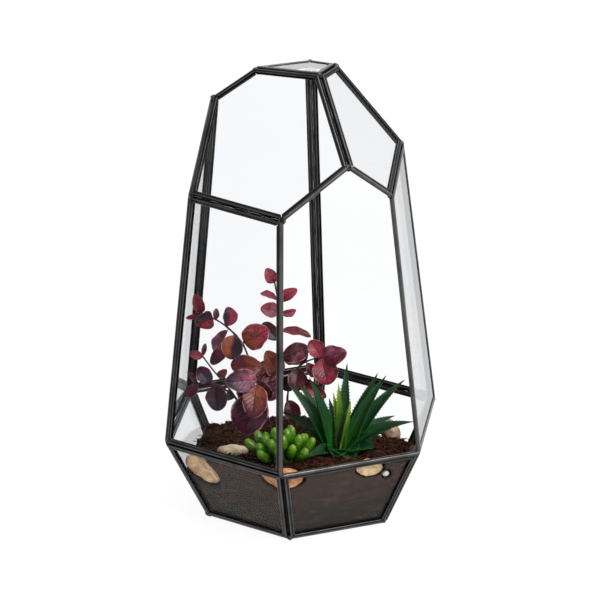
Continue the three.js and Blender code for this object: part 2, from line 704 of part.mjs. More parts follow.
/** A tapering aloe leaf, hollowed along its upper face, keeled below and toothed along both edges. */
function toothedLeaf(root, tip, width, bow, roll, grow) {
  const out = tip.clone().sub(root).setZ(0).normalize();
  const length = tip.distanceTo(root);
  const side = upAxis.clone().cross(out);
  side.applyAxisAngle(tip.clone().sub(root).normalize(), degrees(roll));
  const middle = root.clone().lerp(tip, ALOE_BOW_AT).addScaledVector(upAxis, bow * length);
  middle.addScaledVector(out, -bow * length * ALOE_BOW_BACK);
  const curve = new THREE.QuadraticBezierCurve3(root, middle, tip);
  const rings = [];
  for (let i = 0; i <= ALOE_STATIONS; i += 1) {
    const s = i / ALOE_STATIONS;
    const heading = curve.getTangent(s);
    const spine = curve.getPoint(s).addScaledVector(heading, (2 * s - 1) * grow);
    const normal = heading.cross(side).normalize();
    const half = (width / 2) * aloeTaper(s) + (i % 2) * ALOE_TOOTH;
    const edge = (across, lift) => spine.clone().addScaledVector(side, across).addScaledVector(normal, lift);
    rings.push([
      edge(-half - grow, 2 * ALOE_LIP * half),
      edge(0, -ALOE_KEEL * width * aloeTaper(s) - grow),
      edge(half + grow, 2 * ALOE_LIP * half),
      edge(0, 2 * ALOE_HOLLOW * half + grow),
    ]);
  }
  return loft(rings);
}

/** The upright cone that the young leaves stand in, grown by a clearance. */
function aloeWell(clear) {
  const low = ALOE_ROOT[2] - ALOE_WELL_DEPTH - clear;
  return standing(
    upright(
      ALOE_WELL_RADIUS + clear,
      ALOE_WELL_RADIUS * ALOE_WELL_FLARE + clear,
      low,
      ALOE_ROOT[2] + ALOE_WELL_RISE,
      10,
    ),
    ALOE_ROOT,
  );
}

/** The ring of dark leaves on its crown, with a well for the young leaves in the middle. */
function aloeRosette(grow = 0) {
  const root = at(...ALOE_ROOT);
  const up = ALOE_ROOT[2];
  const radius = ALOE_CROWN_RADIUS + grow;
  const crown = upright(radius, radius, up - ROOT_DEPTH - grow, up + ALOE_CROWN_RISE, 10);
  const parts = [standing(crown, ALOE_ROOT)];
  for (const [across, deep, rise, width, bow, roll] of ALOE_LEAVES) {
    const tip = at(across, deep, rise);
    const foot = root.clone().addScaledVector(tip.clone().sub(root).setZ(0).normalize(), ALOE_LEAF_FOOT);
    parts.push(toothedLeaf(foot, tip, width, bow, roll, grow));
  }
  return grow > 0 ? join(parts) : mainBody(join(parts).subtract(aloeWell(GAP)));
}

/** The young leaves on their bud, which stands on the floor of the well. */
function aloeHeart() {
  const up = ALOE_ROOT[2];
  const bud = upright(ALOE_BUD_RADIUS, ALOE_BUD_RADIUS, up - ALOE_WELL_DEPTH, up + ALOE_WELL_DEPTH, 8);
  const parts = [standing(bud, ALOE_ROOT)];
  for (const [across, deep, rise, width, bow, roll] of YOUNG_LEAVES) {
    parts.push(toothedLeaf(at(...ALOE_ROOT), at(across, deep, rise), width, bow, roll, 0));
  }
  return mainBody(join(parts).intersect(aloeWell(0)));
}

// Finger-leaved succulent

const CLUMP_ROOT = [-16, -65, 65];
// Half lengths of the crown that the fingers stand on
const CLUMP_WIDE = 17;
const CLUMP_DEEP = 11.5;
const CLUMP_HIGH = 8;
const CLUMP_STEM_RADIUS = 5;
const FINGER_COUNT = 18;
const FINGER_LENGTH = 18;
const FINGER_UNEVENNESS = 2;
const FINGER_RADIUS = 4.2;
// How far the outermost fingers lean, and the shares of the crown that they stand within and rise by
const FINGER_LEAN = degrees(48);
const FINGER_SPREAD = 0.74;
const FINGER_LIFT = 0.35;

/** The low crown of the clump on its stem. */
function clumpFoot(grow) {
  const up = CLUMP_ROOT[2];
  const core = new THREE.SphereGeometry(1, 8, 6);
  core.scale(CLUMP_WIDE + grow, CLUMP_DEEP + grow, CLUMP_HIGH + grow);
  core.rotateZ(PLANTING_TURN);
  core.translate(0, 0, up);
  const radius = CLUMP_STEM_RADIUS + grow;
  const stem = upright(radius, radius, up - CLUMP_HIGH - ROOT_DEPTH - grow, up, 10);
  return standing(core, CLUMP_ROOT).add(standing(stem, CLUMP_ROOT));
}

/** Plump fingers over a low crown, each a golden angle on from the last, the outer ones leaning out. */
function fingerClump(grow = 0) {
  const parts = [clumpFoot(grow)];
  for (let i = 0; i < FINGER_COUNT; i += 1) {
    const out = Math.sqrt((i + 0.3) / FINGER_COUNT);
    const turn = i * GOLDEN_ANGLE;
    const length = FINGER_LENGTH + FINGER_UNEVENNESS * Math.sin(3 * i);
    const finger = new THREE.SphereGeometry(1, 6, 5);
    finger.rotateX(Math.PI / 2);
    finger.scale(FINGER_RADIUS + grow, FINGER_RADIUS + grow, length / 2 + grow);
    finger.translate(0, 0, length / 2);
    finger.rotateY(FINGER_LEAN * out);
    finger.rotateZ(turn);
    finger.translate(
      CLUMP_WIDE * FINGER_SPREAD * out * Math.cos(turn),
      CLUMP_DEEP * FINGER_SPREAD * out * Math.sin(turn),
      CLUMP_ROOT[2] + CLUMP_HIGH * FINGER_LIFT * (1 - out),
    );
    finger.rotateZ(PLANTING_TURN);
    parts.push(standing(finger, CLUMP_ROOT));
  }
  return join(parts);
}

// Assembly

const terrarium = new THREE.Group();
const casing = new THREE.Group();
const planting = new THREE.Group();
terrarium.add(casing, planting);

for (const name of Object.keys(PANES)) {
  const { middle } = paneAxes(name);
  casing.add(mesh(`pane_${name}`, glassPane(name), GLASS, middle));
  casing.add(mesh(`frame_${name}`, channelRing(name), METAL, middle));
}

// What is laid or planted first keeps its shape, and later plants and the soil stay a gap clear of it
const planted = [];
let ground = soilRoom().intersect(groundBlock());

/** Lays a pebble, and cuts its room out of the soil, through to the glass that it presses on. */
function layPebble(name, stone) {
  const room = pebble(stone, PEBBLE_GAP);
  planted.push(room);
  ground = ground.subtract(room);
  for (const pane of stone.presses) {
    const { x, y, z } = paneAxes(pane).normal.clone().multiplyScalar(glassLow);
    ground = ground.subtract(room.translate([x, y, z]));
  }
  planting.add(mesh(`pebble_${name}`, pebble(stone), stone.look, at(...stone.spot)));
}

/** Sets a plant in the soil, clear of what is there already. Only its foot is cut out of the soil. */
function setPlant(name, look, root, whole, foot = whole) {
  const clear = planted.reduce((body, earlier) => body.subtract(earlier), whole(0));
  planting.add(mesh(name, mainBody(clear), look, at(...root)));
  planted.push(whole(GAP));
  ground = ground.subtract(foot(SOIL_GAP));
}

Object.entries(PEBBLES).forEach(([name, stone]) => layPebble(name, stone));
setPlant('aloe_rosette', DARK_GREEN, ALOE_ROOT, aloeRosette);
planting.add(mesh('aloe_young_leaves', aloeHeart(), YOUNG_GREEN, at(...ALOE_ROOT)));
setPlant('finger_succulent', BRIGHT_GREEN, CLUMP_ROOT, fingerClump);
for (const [name, plan] of Object.entries(SPRAYS)) {
  const [stem] = plan.stems;
  const whole = (grow) => spray(plan, grow);
  const foot = (grow) => spray({ stems: [stem], leaves: [] }, grow);
  setPlant(`eucalyptus_${name}`, BURGUNDY, stem[0], whole, foot);
}
planting.add(mesh('soil', mainBody(ground), EARTH));

export default terrarium;
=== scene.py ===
"""Looks of a planted glass terrarium: panes, black channel, solder, soil, pebbles and three kinds of plant.

Lengths in the lists of places are millimetres in a frame turned to face the front corner, and at() turns
them into metres in the row frame. Everything else is in metres.
"""

import math
from itertools import pairwise

import bmesh
import bpy
import numpy as np
from bpy.props import FloatProperty, FloatVectorProperty, IntProperty, PointerProperty
from mathutils import Matrix, Vector, noise
from mathutils.bvhtree import BVHTree


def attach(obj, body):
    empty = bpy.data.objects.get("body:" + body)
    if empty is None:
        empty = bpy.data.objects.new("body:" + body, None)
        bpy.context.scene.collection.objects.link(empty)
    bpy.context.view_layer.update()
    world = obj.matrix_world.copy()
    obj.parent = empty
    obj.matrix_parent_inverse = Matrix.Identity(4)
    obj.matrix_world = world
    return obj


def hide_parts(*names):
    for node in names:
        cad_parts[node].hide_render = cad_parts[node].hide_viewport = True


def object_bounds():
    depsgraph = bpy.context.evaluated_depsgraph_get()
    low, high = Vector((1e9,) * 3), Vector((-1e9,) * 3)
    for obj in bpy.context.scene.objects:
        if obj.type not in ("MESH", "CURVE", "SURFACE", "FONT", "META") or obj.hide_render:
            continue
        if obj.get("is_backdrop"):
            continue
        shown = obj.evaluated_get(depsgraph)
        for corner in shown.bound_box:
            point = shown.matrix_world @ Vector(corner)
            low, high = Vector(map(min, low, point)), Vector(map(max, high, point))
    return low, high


bl_info = {
    "name": "Glass Terrarium",
    "version": (1, 0, 0),
    "blender": (4, 5, 0),
    "location": "3D View > Sidebar > Terrarium",
    "description": "Dresses the frame of a planted glass terrarium",
    "category": "Object",
}

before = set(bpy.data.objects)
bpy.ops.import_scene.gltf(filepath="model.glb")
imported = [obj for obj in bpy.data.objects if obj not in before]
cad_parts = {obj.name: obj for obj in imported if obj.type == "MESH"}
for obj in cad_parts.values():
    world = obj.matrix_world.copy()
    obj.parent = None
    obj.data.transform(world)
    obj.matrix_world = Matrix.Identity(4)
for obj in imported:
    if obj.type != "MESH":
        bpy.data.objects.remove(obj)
CAD_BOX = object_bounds()

MM = 0.001
# Points nearer than this are one point
SAME_POINT = 0.001 * MM
SCREEN_GAMMA = 2.2
PLANTING_TURN = math.radians(-22)
ACROSS = Vector((math.cos(PLANTING_TURN), math.sin(PLANTING_TURN), 0))
DEEP = Vector((-math.sin(PLANTING_TURN), math.cos(PLANTING_TURN), 0))
UP = Vector((0, 0, 1))
GOLDEN_ANGLE = math.pi * (3 - math.sqrt(5))


def at(across, deep, up):
    """A place in the planting, in millimetres, as a point in metres."""
    return (ACROSS * across + DEEP * deep + UP * up) * MM


def tone(red, green, blue):
    """A colour as it is seen on a screen, from 0 to 255, as the linear colour that a shader takes."""
    return tuple(round((part / 255) ** SCREEN_GAMMA, 4) for part in (red, green, blue))


def rough(point, *octaves):
    """Noise at a point, summed over pairs of a scale and a weight."""
    return sum(weight * noise.noise(point * scale) for scale, weight in octaves)


# Node trees written as expressions


class Term:
    """The value of a socket. Arithmetic on it adds the Math nodes that the expression needs."""

    def __init__(self, graph, socket):
        self.graph = graph
        self.socket = socket

    def __add__(self, other):
        return self.graph.math("ADD", self, other)

    def __sub__(self, other):
        return self.graph.math("SUBTRACT", self, other)

    def __mul__(self, other):
        return self.graph.math("MULTIPLY", self, other)

    def __truediv__(self, other):
        return self.graph.math("DIVIDE", self, other)

    def __pow__(self, other):
        return self.graph.math("POWER", self, other)

    def __radd__(self, other):
        return self.graph.math("ADD", other, self)

    def __rsub__(self, other):
        return self.graph.math("SUBTRACT", other, self)

    def __rmul__(self, other):
        return self.graph.math("MULTIPLY", other, self)

    def __abs__(self):
        return self.graph.math("ABSOLUTE", self)

    def sine(self):
        return self.graph.math("SINE", self)

    def cosine(self):
        return self.graph.math("COSINE", self)

    def stepped(self, low, high):
        """0 below low, 1 above high, and a smooth rise between them."""
        sockets = {"Value": self, "From Min": low, "From Max": high}
        return self.graph.add("ShaderNodeMapRange", sockets, interpolation_type="SMOOTHSTEP")


class Graph:
    """A node tree to which nodes are added by their type, settings and sockets."""

    def __init__(self, tree):
        self.tree = tree

    def add(self, kind, sockets=None, out=0, **settings):
        """Adds a node, makes its settings, fills its sockets and returns one of its outputs."""
        node = self.tree.nodes.new(kind)
        for setting, value in settings.items():
            setattr(node, setting, value)
        for key, value in (sockets or {}).items():
            for single in value if isinstance(value, list) else [value]:
                self.fill(node.inputs[key], single)
        return Term(self, node.outputs[out]) if len(node.outputs) else node

    def fill(self, socket, value):
        """Links a term to a socket, or sets the socket's own value."""
        if isinstance(value, Term):
            self.tree.links.new(value.socket, socket)
        elif socket.type == "RGBA" and len(value) == 3:
            socket.default_value = (*value, 1)
        else:
            socket.default_value = value

    def math(self, operation, *values):
        return self.add("ShaderNodeMath", dict(enumerate(values)), operation=operation)

    def scaled(self, vector, *factors):
        """A vector or colour times one number, or times a number for each of its parts."""
        if len(factors) == 1:
            return self.add("ShaderNodeVectorMath", {0: vector, "Scale": factors[0]}, operation="SCALE")
        return self.add("ShaderNodeVectorMath", {0: vector, 1: factors}, operation="MULTIPLY")

    def added(self, first, second):
        return self.add("ShaderNodeVectorMath", {0: first, 1: second}, operation="ADD")

    def mixed(self, share, low, high):
        """One colour going over to another as the share goes from 0 to 1."""
        return self.add("ShaderNodeMix", {0: share, 6: low, 7: high}, out=2, data_type="RGBA")

    def layered(self, colour, *layers):
        """A colour with others laid over it in turn, each by its share."""
        for share, upper in layers:
            colour = self.mixed(share, colour, upper)
        return colour

    def vector(self, x, y, z):
        return self.add("ShaderNodeCombineXYZ", {0: x, 1: y, 2: z})

    def parts(self, vector):
        """The X, Y and Z of a vector."""
        first = self.add("ShaderNodeSeparateXYZ", {0: vector})
        return [Term(self, socket) for socket in first.socket.node.outputs]

    def noise(self, vector, scale, detail, out=0, distortion=0.0):
        sockets = {"Vector": vector, "Scale": scale, "Detail": detail, "Distortion": distortion}
        return self.add("ShaderNodeTexNoise", sockets, out=out)

    def place(self):
        return self.add("ShaderNodeTexCoord", out="Object")

    def attribute(self, name, out):
        return self.add("ShaderNodeAttribute", out=out, attribute_name=name)

    def bump(self, height, depth, strength):
        """A normal for a surface whose height goes from 0 to 1 over a depth in metres."""
        return self.add("ShaderNodeBump", {"Strength": strength, "Distance": depth, "Height": height})

    def named(self, name, kind):
        """What a point carries under a name, in a geometry tree."""
        return self.add("GeometryNodeInputNamedAttribute", {"Name": name}, data_type=kind)

    def facing_out(self):
        """The turn that stands a copy up along its point's outward direction."""
        outward = self.named("outward", "FLOAT_VECTOR")
        return self.add("FunctionNodeAlignRotationToVector", {"Vector": outward}, axis="Z")

    def shaken(self, shape, scale, detail, reach):
        """A shape whose points are moved by noise, by up to half the reach each way."""
        cloud = self.noise(self.add("GeometryNodeInputPosition"), scale, detail, out=1)
        jitter = self.add("ShaderNodeVectorMath", {0: cloud, 1: (0.5, 0.5, 0.5)}, operation="SUBTRACT")
        return self.add("GeometryNodeSetPosition", {0: shape, "Offset": self.scaled(jitter, reach)})


def material(name, build):
    """A node material whose surface is what the build function returns for its graph."""
    made = bpy.data.materials.new(name)
    made.use_nodes = True
    made.node_tree.nodes.clear()
    graph = Graph(made.node_tree)
    graph.add("ShaderNodeOutputMaterial", {"Surface": build(graph)})
    return made


def principled(graph, colour, roughness, **sockets):
    """A Principled surface. Underscores in the names of further sockets stand for spaces."""
    named = {key.replace("_", " "): value for key, value in sockets.items()}
    return graph.add("ShaderNodeBsdfPrincipled", {"Base Color": colour, "Roughness": roughness, **named})


# Meshes


def mark(mesh, label, values):
    """Gives each point of a mesh a number or a vector under a name."""
    values = np.array(values, np.float32)
    kind, field = ("FLOAT_VECTOR", "vector") if values.ndim == 2 else ("FLOAT", "value")
    mesh.attributes.new(label, kind, "POINT").data.foreach_set(field, values.ravel())


class Skin:
    """Grids of points gathered into the mesh of one piece, with a tint and a place on the leaf at each."""

    def __init__(self):
        self.points = []
        self.faces = []
        self.tints = []
        self.spots = []
        self.count = 0

    def grid(self, rows, tint=None, spots=None, wrap=False, flip=False, capped=False):
        """Adds rows of points as a sheet of quads, or as a tube where the columns wrap round."""
        rows = np.asarray(rows, float)
        high, wide = rows.shape[:2]
        index = self.count + np.arange(high * wide).reshape(high, wide)
        after = np.roll(index, -1, axis=1) if wrap else index[:, 1:]
        before = index if wrap else index[:, :-1]
        quads = np.stack([before[:-1], after[:-1], after[1:], before[1:]], -1).reshape(-1, 4)
        faces = quads.tolist() + ([index[0][::-1].tolist(), index[-1].tolist()] if capped else [])
        self.faces.extend(face[::-1] for face in faces) if flip else self.faces.extend(faces)
        self.points.append(rows.reshape(-1, 3))
        blank = np.zeros((high, wide, 3))
        self.tints.append(np.broadcast_to(blank if tint is None else tint, blank.shape).reshape(-1, 3))
        self.spots.append(np.broadcast_to(blank if spots is None else spots, blank.shape).reshape(-1, 3))
        self.count += high * wide

    def piece(self, name, look, smooth_angle=180):
        """The finished object, with points that coincide merged into one."""
        points = np.concatenate(self.points)
        cells = np.round(points / SAME_POINT).astype(int)
        _, first, inverse = np.unique(cells, axis=0, return_index=True, return_inverse=True)
        inverse = inverse.reshape(-1)
        faces = []
        for face in self.faces:
            corners = list(dict.fromkeys(int(inverse[corner]) for corner in face))
            if len(corners) > 2:
                faces.append(corners)
        made = plain_piece(name, points[first], faces, look, smooth_angle)
        for label, rows in (("tint", self.tints), ("spot", self.spots)):
            mark(made.data, label, np.concatenate(rows)[first])
        return made


def plain_piece(name, points, faces, look, smooth_angle=180):
    """An object at the origin made from points and faces, shaded smooth up to an angle in degrees."""
    mesh = bpy.data.meshes.new(name)
    mesh.from_pydata([tuple(point) for point in points], [], faces)
    mesh.materials.append(look)
    mesh.shade_smooth()
    if smooth_angle < 180:
        mesh.set_sharp_from_angle(angle=math.radians(smooth_angle))
    made = bpy.data.objects.new(name, mesh)
    bpy.context.scene.collection.objects.link(made)
    return made


def merged(node):
    """The points and faces of a CAD node, with its loose triangles joined up."""
    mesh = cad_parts[node].data
    points = np.array([vertex.co for vertex in mesh.vertices])
    kept, inverse = np.unique(np.round(points, 6), axis=0, return_inverse=True)
    inverse = inverse.reshape(-1)
    faces = [[int(inverse[corner]) for corner in face.vertices] for face in mesh.polygons]
    return kept, [face for face in faces if len(set(face)) == len(face)]


def finished(made):
    """Puts the result of an object's modifiers in its mesh, and takes the modifiers off."""
    shape = bpy.data.meshes.new_from_object(made.evaluated_get(bpy.context.evaluated_depsgraph_get()))
    made.modifiers.clear()
    made.data = shape
    return made


def refined(made, facet, passes):
    """Remakes a piece's mesh in small even facets, and softens it a number of times."""
    remesh = made.modifiers.new("fine", "REMESH")
    remesh.mode = "VOXEL"
    remesh.voxel_size = facet
    remesh.use_smooth_shade = True
    finished(made)
    soften = made.modifiers.new("soften", "SMOOTH")
    soften.iterations = passes
    return finished(made)


def reshape(made, move):
    """Moves each vertex of a piece to what a function of its place and normal gives."""
    points = [move(vertex.co.copy(), vertex.normal.copy()) for vertex in made.data.vertices]
    made.data.vertices.foreach_set("co", np.array(points, np.float32).ravel())
    made.data.update()


def settle(made, slot, *nodes):
    """Rides a piece on the body, and hides the CAD nodes that it stands for if it has any. Its slot is not used.
    """
    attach(made, "root")
    if nodes:
        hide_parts(*nodes)


def new_tree(name, **inputs):
    """An empty geometry tree with a geometry input, the named inputs and a geometry output."""
    tree = bpy.data.node_groups.new(name, "GeometryNodeTree")
    tree.interface.new_socket("Geometry", in_out="INPUT", socket_type="NodeSocketGeometry")
    for label, kind in inputs.items():
        tree.interface.new_socket(label, in_out="INPUT", socket_type="NodeSocket" + kind)
    tree.interface.new_socket("Geometry", in_out="OUTPUT", socket_type="NodeSocketGeometry")
    graph = Graph(tree)
    source = tree.nodes.new("NodeGroupInput")
    return graph, {label: Term(graph, source.outputs[label]) for label in ("Geometry", *inputs)}


def close_tree(graph, shape, look):
    """Ends a geometry tree: instances made real, smooth, with their material."""
    real = graph.add("GeometryNodeRealizeInstances", {0: shape})
    smooth = graph.add("GeometryNodeSetShadeSmooth", {0: real})
    dressed = graph.add("GeometryNodeSetMaterial", {0: smooth, "Material": look})
    graph.add("NodeGroupOutput", {0: dressed})
    return graph.tree


def grown(name, tree, carrier, **inputs):
    """The plain object that a geometry tree makes from a mesh."""
    made = bpy.data.objects.new(name, carrier)
    bpy.context.scene.collection.objects.link(made)
    modifier = made.modifiers.new("grow", "NODES")
    modifier.node_group = tree
    for item in tree.interface.items_tree:
        if item.in_out == "INPUT" and item.name in inputs:
            modifier[item.identifier] = inputs[item.name]
    return finished(made)


def points_mesh(name, points, edges=(), **attributes):
    """A mesh of bare points for a geometry tree, with a vector or a number at each."""
    mesh = bpy.data.meshes.new(name)
    mesh.from_pydata([tuple(point) for point in points], list(edges), [])
    for label, values in attributes.items():
        mark(mesh, label, values)
    return mesh


# Casing

# The folded section: the width of its flanges, the depth that its CAD ring has and the sheet's thickness
CHANNEL_WIDTH = 3.4 * MM
CHANNEL_DEPTH = 4 * MM
CHANNEL_WALL = 0.62 * MM
# How far each flange lies inside the depth of its CAD ring, close on the glass
CHANNEL_TRIM = 0.33 * MM
# How far the back of a ring lies inside the casing's edge
RING_SETBACK = 0.18 * MM
# How far a flange rises at its middle, and the turn in degrees at which the fold of its lip ends
FLANGE_CAMBER = 0.02 * MM
LIP_TURN = 200
FOLD_STEPS = 4
LIP_STEPS = 3
# How worn the flat of a flange is, and how much of the painted highlight it gets, where a fold has all of both
FLAT_WEAR_AND_HIGHLIGHT = 0.1
# Scale and seed of the noise that the channel strays from true by
CHANNEL_WAVES = 55
CHANNEL_SEED = 5
CHANNEL_SMOOTH_ANGLE = 40
# Along the mouth the back of the channel is filled and rounded
MOUTH_BULGE = 1.8 * MM
MOUTH_FOLD = 1.5 * MM
# How far a pane's edge lies inside the casing's edge, and its inner face above the ring's
PANE_INSET = 1.08 * MM
PANE_LIFT = 1 * MM
# Share of light that one face of the glass mirrors when seen straight on
HEAD_ON_MIRROR = 0.002
# Slants, from 0 seen straight on to 1 seen along the glass, between which it turns into a mirror
MIRROR_SLANTS = (0.35, 1.1)
# Slants between which the longer way through the glass comes to show
DEEP_SLANTS = (0.58, 0.85)
GLASS_ROUGHNESS = 0.003
# What smudges add to a pane's roughness and to its mirrored share
SMUDGE_ROUGHNESS = 0.006
SMUDGE_SHARE = 0.0015
# Size of the solder at a corner against its radius, across and outwards
SMALLEST_JOINT = (0.8, 0.75, 0.55)
LARGEST_JOINT = (1.15, 1.1, 0.8)
SEAM_LUMPS = 0.3 * MM
# What is added to the share of solder that is bare
JOINT_BARE = 0.1
SEAM_BARE = -0.3
# How near two corners lie that are one corner of the casing
SAME_CORNER = 0.5 * MM
SIDES = ["right", "back_right", "back_left", "left", "front_left"]
LOWER_PANES = ["lower_" + side for side in ("front_right", *SIDES)]
UPPER_PANES = [*SIDES, "roof_left", "roof_right", "top", "base"]


class Pane:
    """A pane's inner plane in its own flat axes, read from its CAD node."""

    def __init__(self, name):
        self.name = name
        points, faces = merged("pane_" + name)
        widest = max(faces, key=lambda face: self.area(points, face).length)
        self.normal = self.area(points, widest).normalized()
        middle = Vector(points.mean(0))
        if self.normal.dot(middle - Vector((0, 0, CAD_BOX[1][2] / 2))) < 0:
            self.normal.negate()
        heights = points @ np.array(self.normal)
        inner = points[heights < heights.mean()]
        self.middle = Vector(inner.mean(0)) - self.normal * PANE_LIFT
        self.right = (Vector(inner[1]) - Vector(inner[0])).normalized()
        self.up = self.normal.cross(self.right)
        arms = [Vector(point) - self.middle for point in inner]
        flat = [Vector((arm.dot(self.right), arm.dot(self.up))) for arm in arms]
        flat.sort(key=lambda corner: math.atan2(corner.y, corner.x))
        self.flat = self.drawn_in(flat, -PANE_INSET)

    @staticmethod
    def area(points, face):
        a, b, c = (Vector(points[corner]) for corner in face[:3])
        return (b - a).cross(c - a)

    @staticmethod
    def drawn_in(outline, inset):
        """A convex outline drawn in by the same distance along every side."""
        drawn = []
        for number, corner in enumerate(outline):
            before = (corner - outline[number - 1]).normalized()
            after = (outline[(number + 1) % len(outline)] - corner).normalized()
            inward = Vector((-before.y - after.y, before.x + after.x))
            drawn.append(corner + inward * (inset / (1 + before.dot(after))))
        return drawn

    def place(self, flat, height):
        return self.middle + self.right * flat.x + self.up * flat.y + self.normal * height

    def corners(self):
        return [self.place(corner, 0) for corner in self.flat]

    def sides(self):
        """The two ends of each side, in the order of the flat outline."""
        corners = self.corners()
        return list(zip(corners, corners[1:] + corners[:1]))

    def behind(self, point):
        """How far a point lies inside the casing behind this pane's inner plane."""
        return (self.middle - point).dot(self.normal)


PANES = {name: Pane(name) for name in UPPER_PANES + LOWER_PANES}


def casing_corners():
    """Every corner of the casing once, each with the direction that points straight out of it."""
    found = []
    for pane in PANES.values():
        for corner in pane.corners():
            near = [entry for entry in found if (entry[0] - corner).length < SAME_CORNER]
            if near:
                near[0][1] += pane.normal
            else:
                found.append([corner, pane.normal.copy()])
    return [(corner, outward.normalized()) for corner, outward in found]


def neighbours(side):
    """The panes that meet a pane along a side, which is none along the mouth."""
    start, end = side
    return [
        pane for pane in PANES.values() for other_start, other_end in pane.sides()
        if (start - other_end).length < SAME_CORNER and (end - other_start).length < SAME_CORNER
    ]


def casing_edges():
    """Each edge where two panes meet, from both: its ends and the direction that halves the two panes."""
    for pane in PANES.values():
        for side in pane.sides():
            for other in neighbours(side):
                if pane.name < other.name:
                    yield *side, (pane.normal + other.normal).normalized()


def fold(inset, height, radius, first, last, steps):
    """Points of a rounded fold in the channel's section between two turns in degrees, fully worn and given the
    full painted highlight.
    """
    for step in range(steps + 1):
        turn = math.radians(first + (last - first) * step / steps)
        yield inset - radius * math.cos(turn), height + radius * math.sin(turn), 1.0


def channel_section(radius, bulge):
    """The closed U section of the channel as inset, height and wear, which also sets the painted highlight, from
    the back round the outer flange.
    """
    back = RING_SETBACK + radius - bulge
    lip = CHANNEL_WALL / 2
    top = CHANNEL_DEPTH - CHANNEL_TRIM
    half = [
        (RING_SETBACK - bulge, CHANNEL_DEPTH / 2, 0.0),
        *fold(back, top - radius, radius, 0, 90, FOLD_STEPS),
        ((back + CHANNEL_WIDTH) / 2, top + FLANGE_CAMBER, FLAT_WEAR_AND_HIGHLIGHT),
        *fold(CHANNEL_WIDTH - lip, top - lip, lip, 90, LIP_TURN, LIP_STEPS),
        (RING_SETBACK + CHANNEL_WALL, top - CHANNEL_WALL, 0.0),
    ]
    mirrored = [(inset, CHANNEL_DEPTH - height, wear) for inset, height, wear in reversed(half[1:])]
    return half + mirrored


def channel_ring(pane, settings, look):
    """The strips of folded channel round one pane, each cut a little short of its mitres."""
    skin = Skin()
    travelled = 0.0
    for number, side in enumerate(pane.sides()):
        if neighbours(side):
            section = channel_section(settings.fold_radius, 0.0)
        else:
            section = channel_section(MOUTH_FOLD, MOUTH_BULGE)
        around = np.cumsum([0] + [math.dist(a[:2], b[:2]) for a, b in pairwise(section)])
        outlines = [pane.drawn_in(pane.flat, inset) for inset, _, _ in section]
        length = (side[1] - side[0]).length
        trim = settings.mitre_gap / length
        rows, spots = [], []
        for share in np.linspace(trim, 1 - trim, max(3, round(length / settings.step))):
            row, spot = [], []
            for (_, height, wear), outline, over in zip(section, outlines, around):
                flat = outline[number].lerp(outline[(number + 1) % len(outline)], share)
                point = pane.place(flat, height)
                row.append(point + noise.noise_vector(point * CHANNEL_WAVES) * settings.unevenness)
                spot.append((travelled + length * share, over, wear))
            rows.append(row)
            spots.append(spot)
        skin.grid(rows, spots=spots, wrap=True, capped=True)
        travelled += length
    return skin.piece("channel_" + pane.name, look, CHANNEL_SMOOTH_ANGLE)


def channel_metal(settings):
    """Black patina on folded metal: satin, faintly brushed along its length, and paler on the folds, partly from
    wear and partly as a painted highlight.
    """
    def build(graph):
        spot = graph.attribute("spot", "Vector")
        wear = graph.parts(spot)[2]
        mottle = graph.noise(graph.place(), scale=60, detail=4)
        brushed = graph.noise(graph.scaled(spot, 30, 1800, 0), scale=1, detail=3)
        # The folds are paler and more metallic: worn metal, and also a painted highlight along each fold
        rubbed_and_highlight = (wear * (mottle * 0.8 + 0.3)).stepped(0.3, 0.8)
        colour = graph.layered(
            settings.dark, (mottle.stepped(0.3, 0.8), settings.pale), (rubbed_and_highlight * 0.5, settings.rubbed_and_highlight)
        )
        return principled(
            graph, colour, 0.22 + mottle * 0.05 + brushed * 0.08,
            Metallic=rubbed_and_highlight * 0.3 + 0.55, Specular_IOR_Level=0.18,
            Normal=graph.bump(brushed * 0.3 + mottle, depth=0.02 * MM, strength=0.3),
        )
    return material("channel_metal", build)


def solder_metal(name, settings, bare):
    """Darkened solder: dull, lumpy, with brownish grey patches where it is bare."""
    def build(graph):
        patches = graph.noise(graph.place(), scale=260, detail=5, distortion=0.6)
        colour = graph.mixed((patches + bare).stepped(0.5, 0.85), settings.dark, settings.solder)
        return principled(
            graph, colour, 0.34 + patches * 0.3, Metallic=0.55, Specular_IOR_Level=0.35,
            Normal=graph.bump(patches, depth=0.3 * MM, strength=0.7),
        )
    return material(name, build)


def clear_glass(settings):
    """Thin clear glass: straight light passes with a faint cool tint, and slanting light is mirrored more."""
    def build(graph):
        smudge = graph.noise(graph.place(), scale=14, detail=5, distortion=0.6)
        roughness = GLASS_ROUGHNESS + smudge.stepped(0.55, 0.85) * SMUDGE_ROUGHNESS
        mirror = principled(graph, settings.mirrored, roughness, Metallic=1.0)
        slant = graph.add("ShaderNodeLayerWeight", {0: 0.5}, out=1)
        straight, deep = (
            graph.add("ShaderNodeBsdfTransparent", {0: tint}) for tint in (settings.tint, settings.slant_tint)
        )
        through = graph.add("ShaderNodeMixShader", {0: slant.stepped(*DEEP_SLANTS), 1: straight, 2: deep})
        share = HEAD_ON_MIRROR + slant.stepped(*MIRROR_SLANTS) ** 2
        share += smudge.stepped(0.6, 0.9) * SMUDGE_SHARE
        return graph.add("ShaderNodeMixShader", {0: share, 1: through, 2: mirror})
    return material("clear_glass", build)


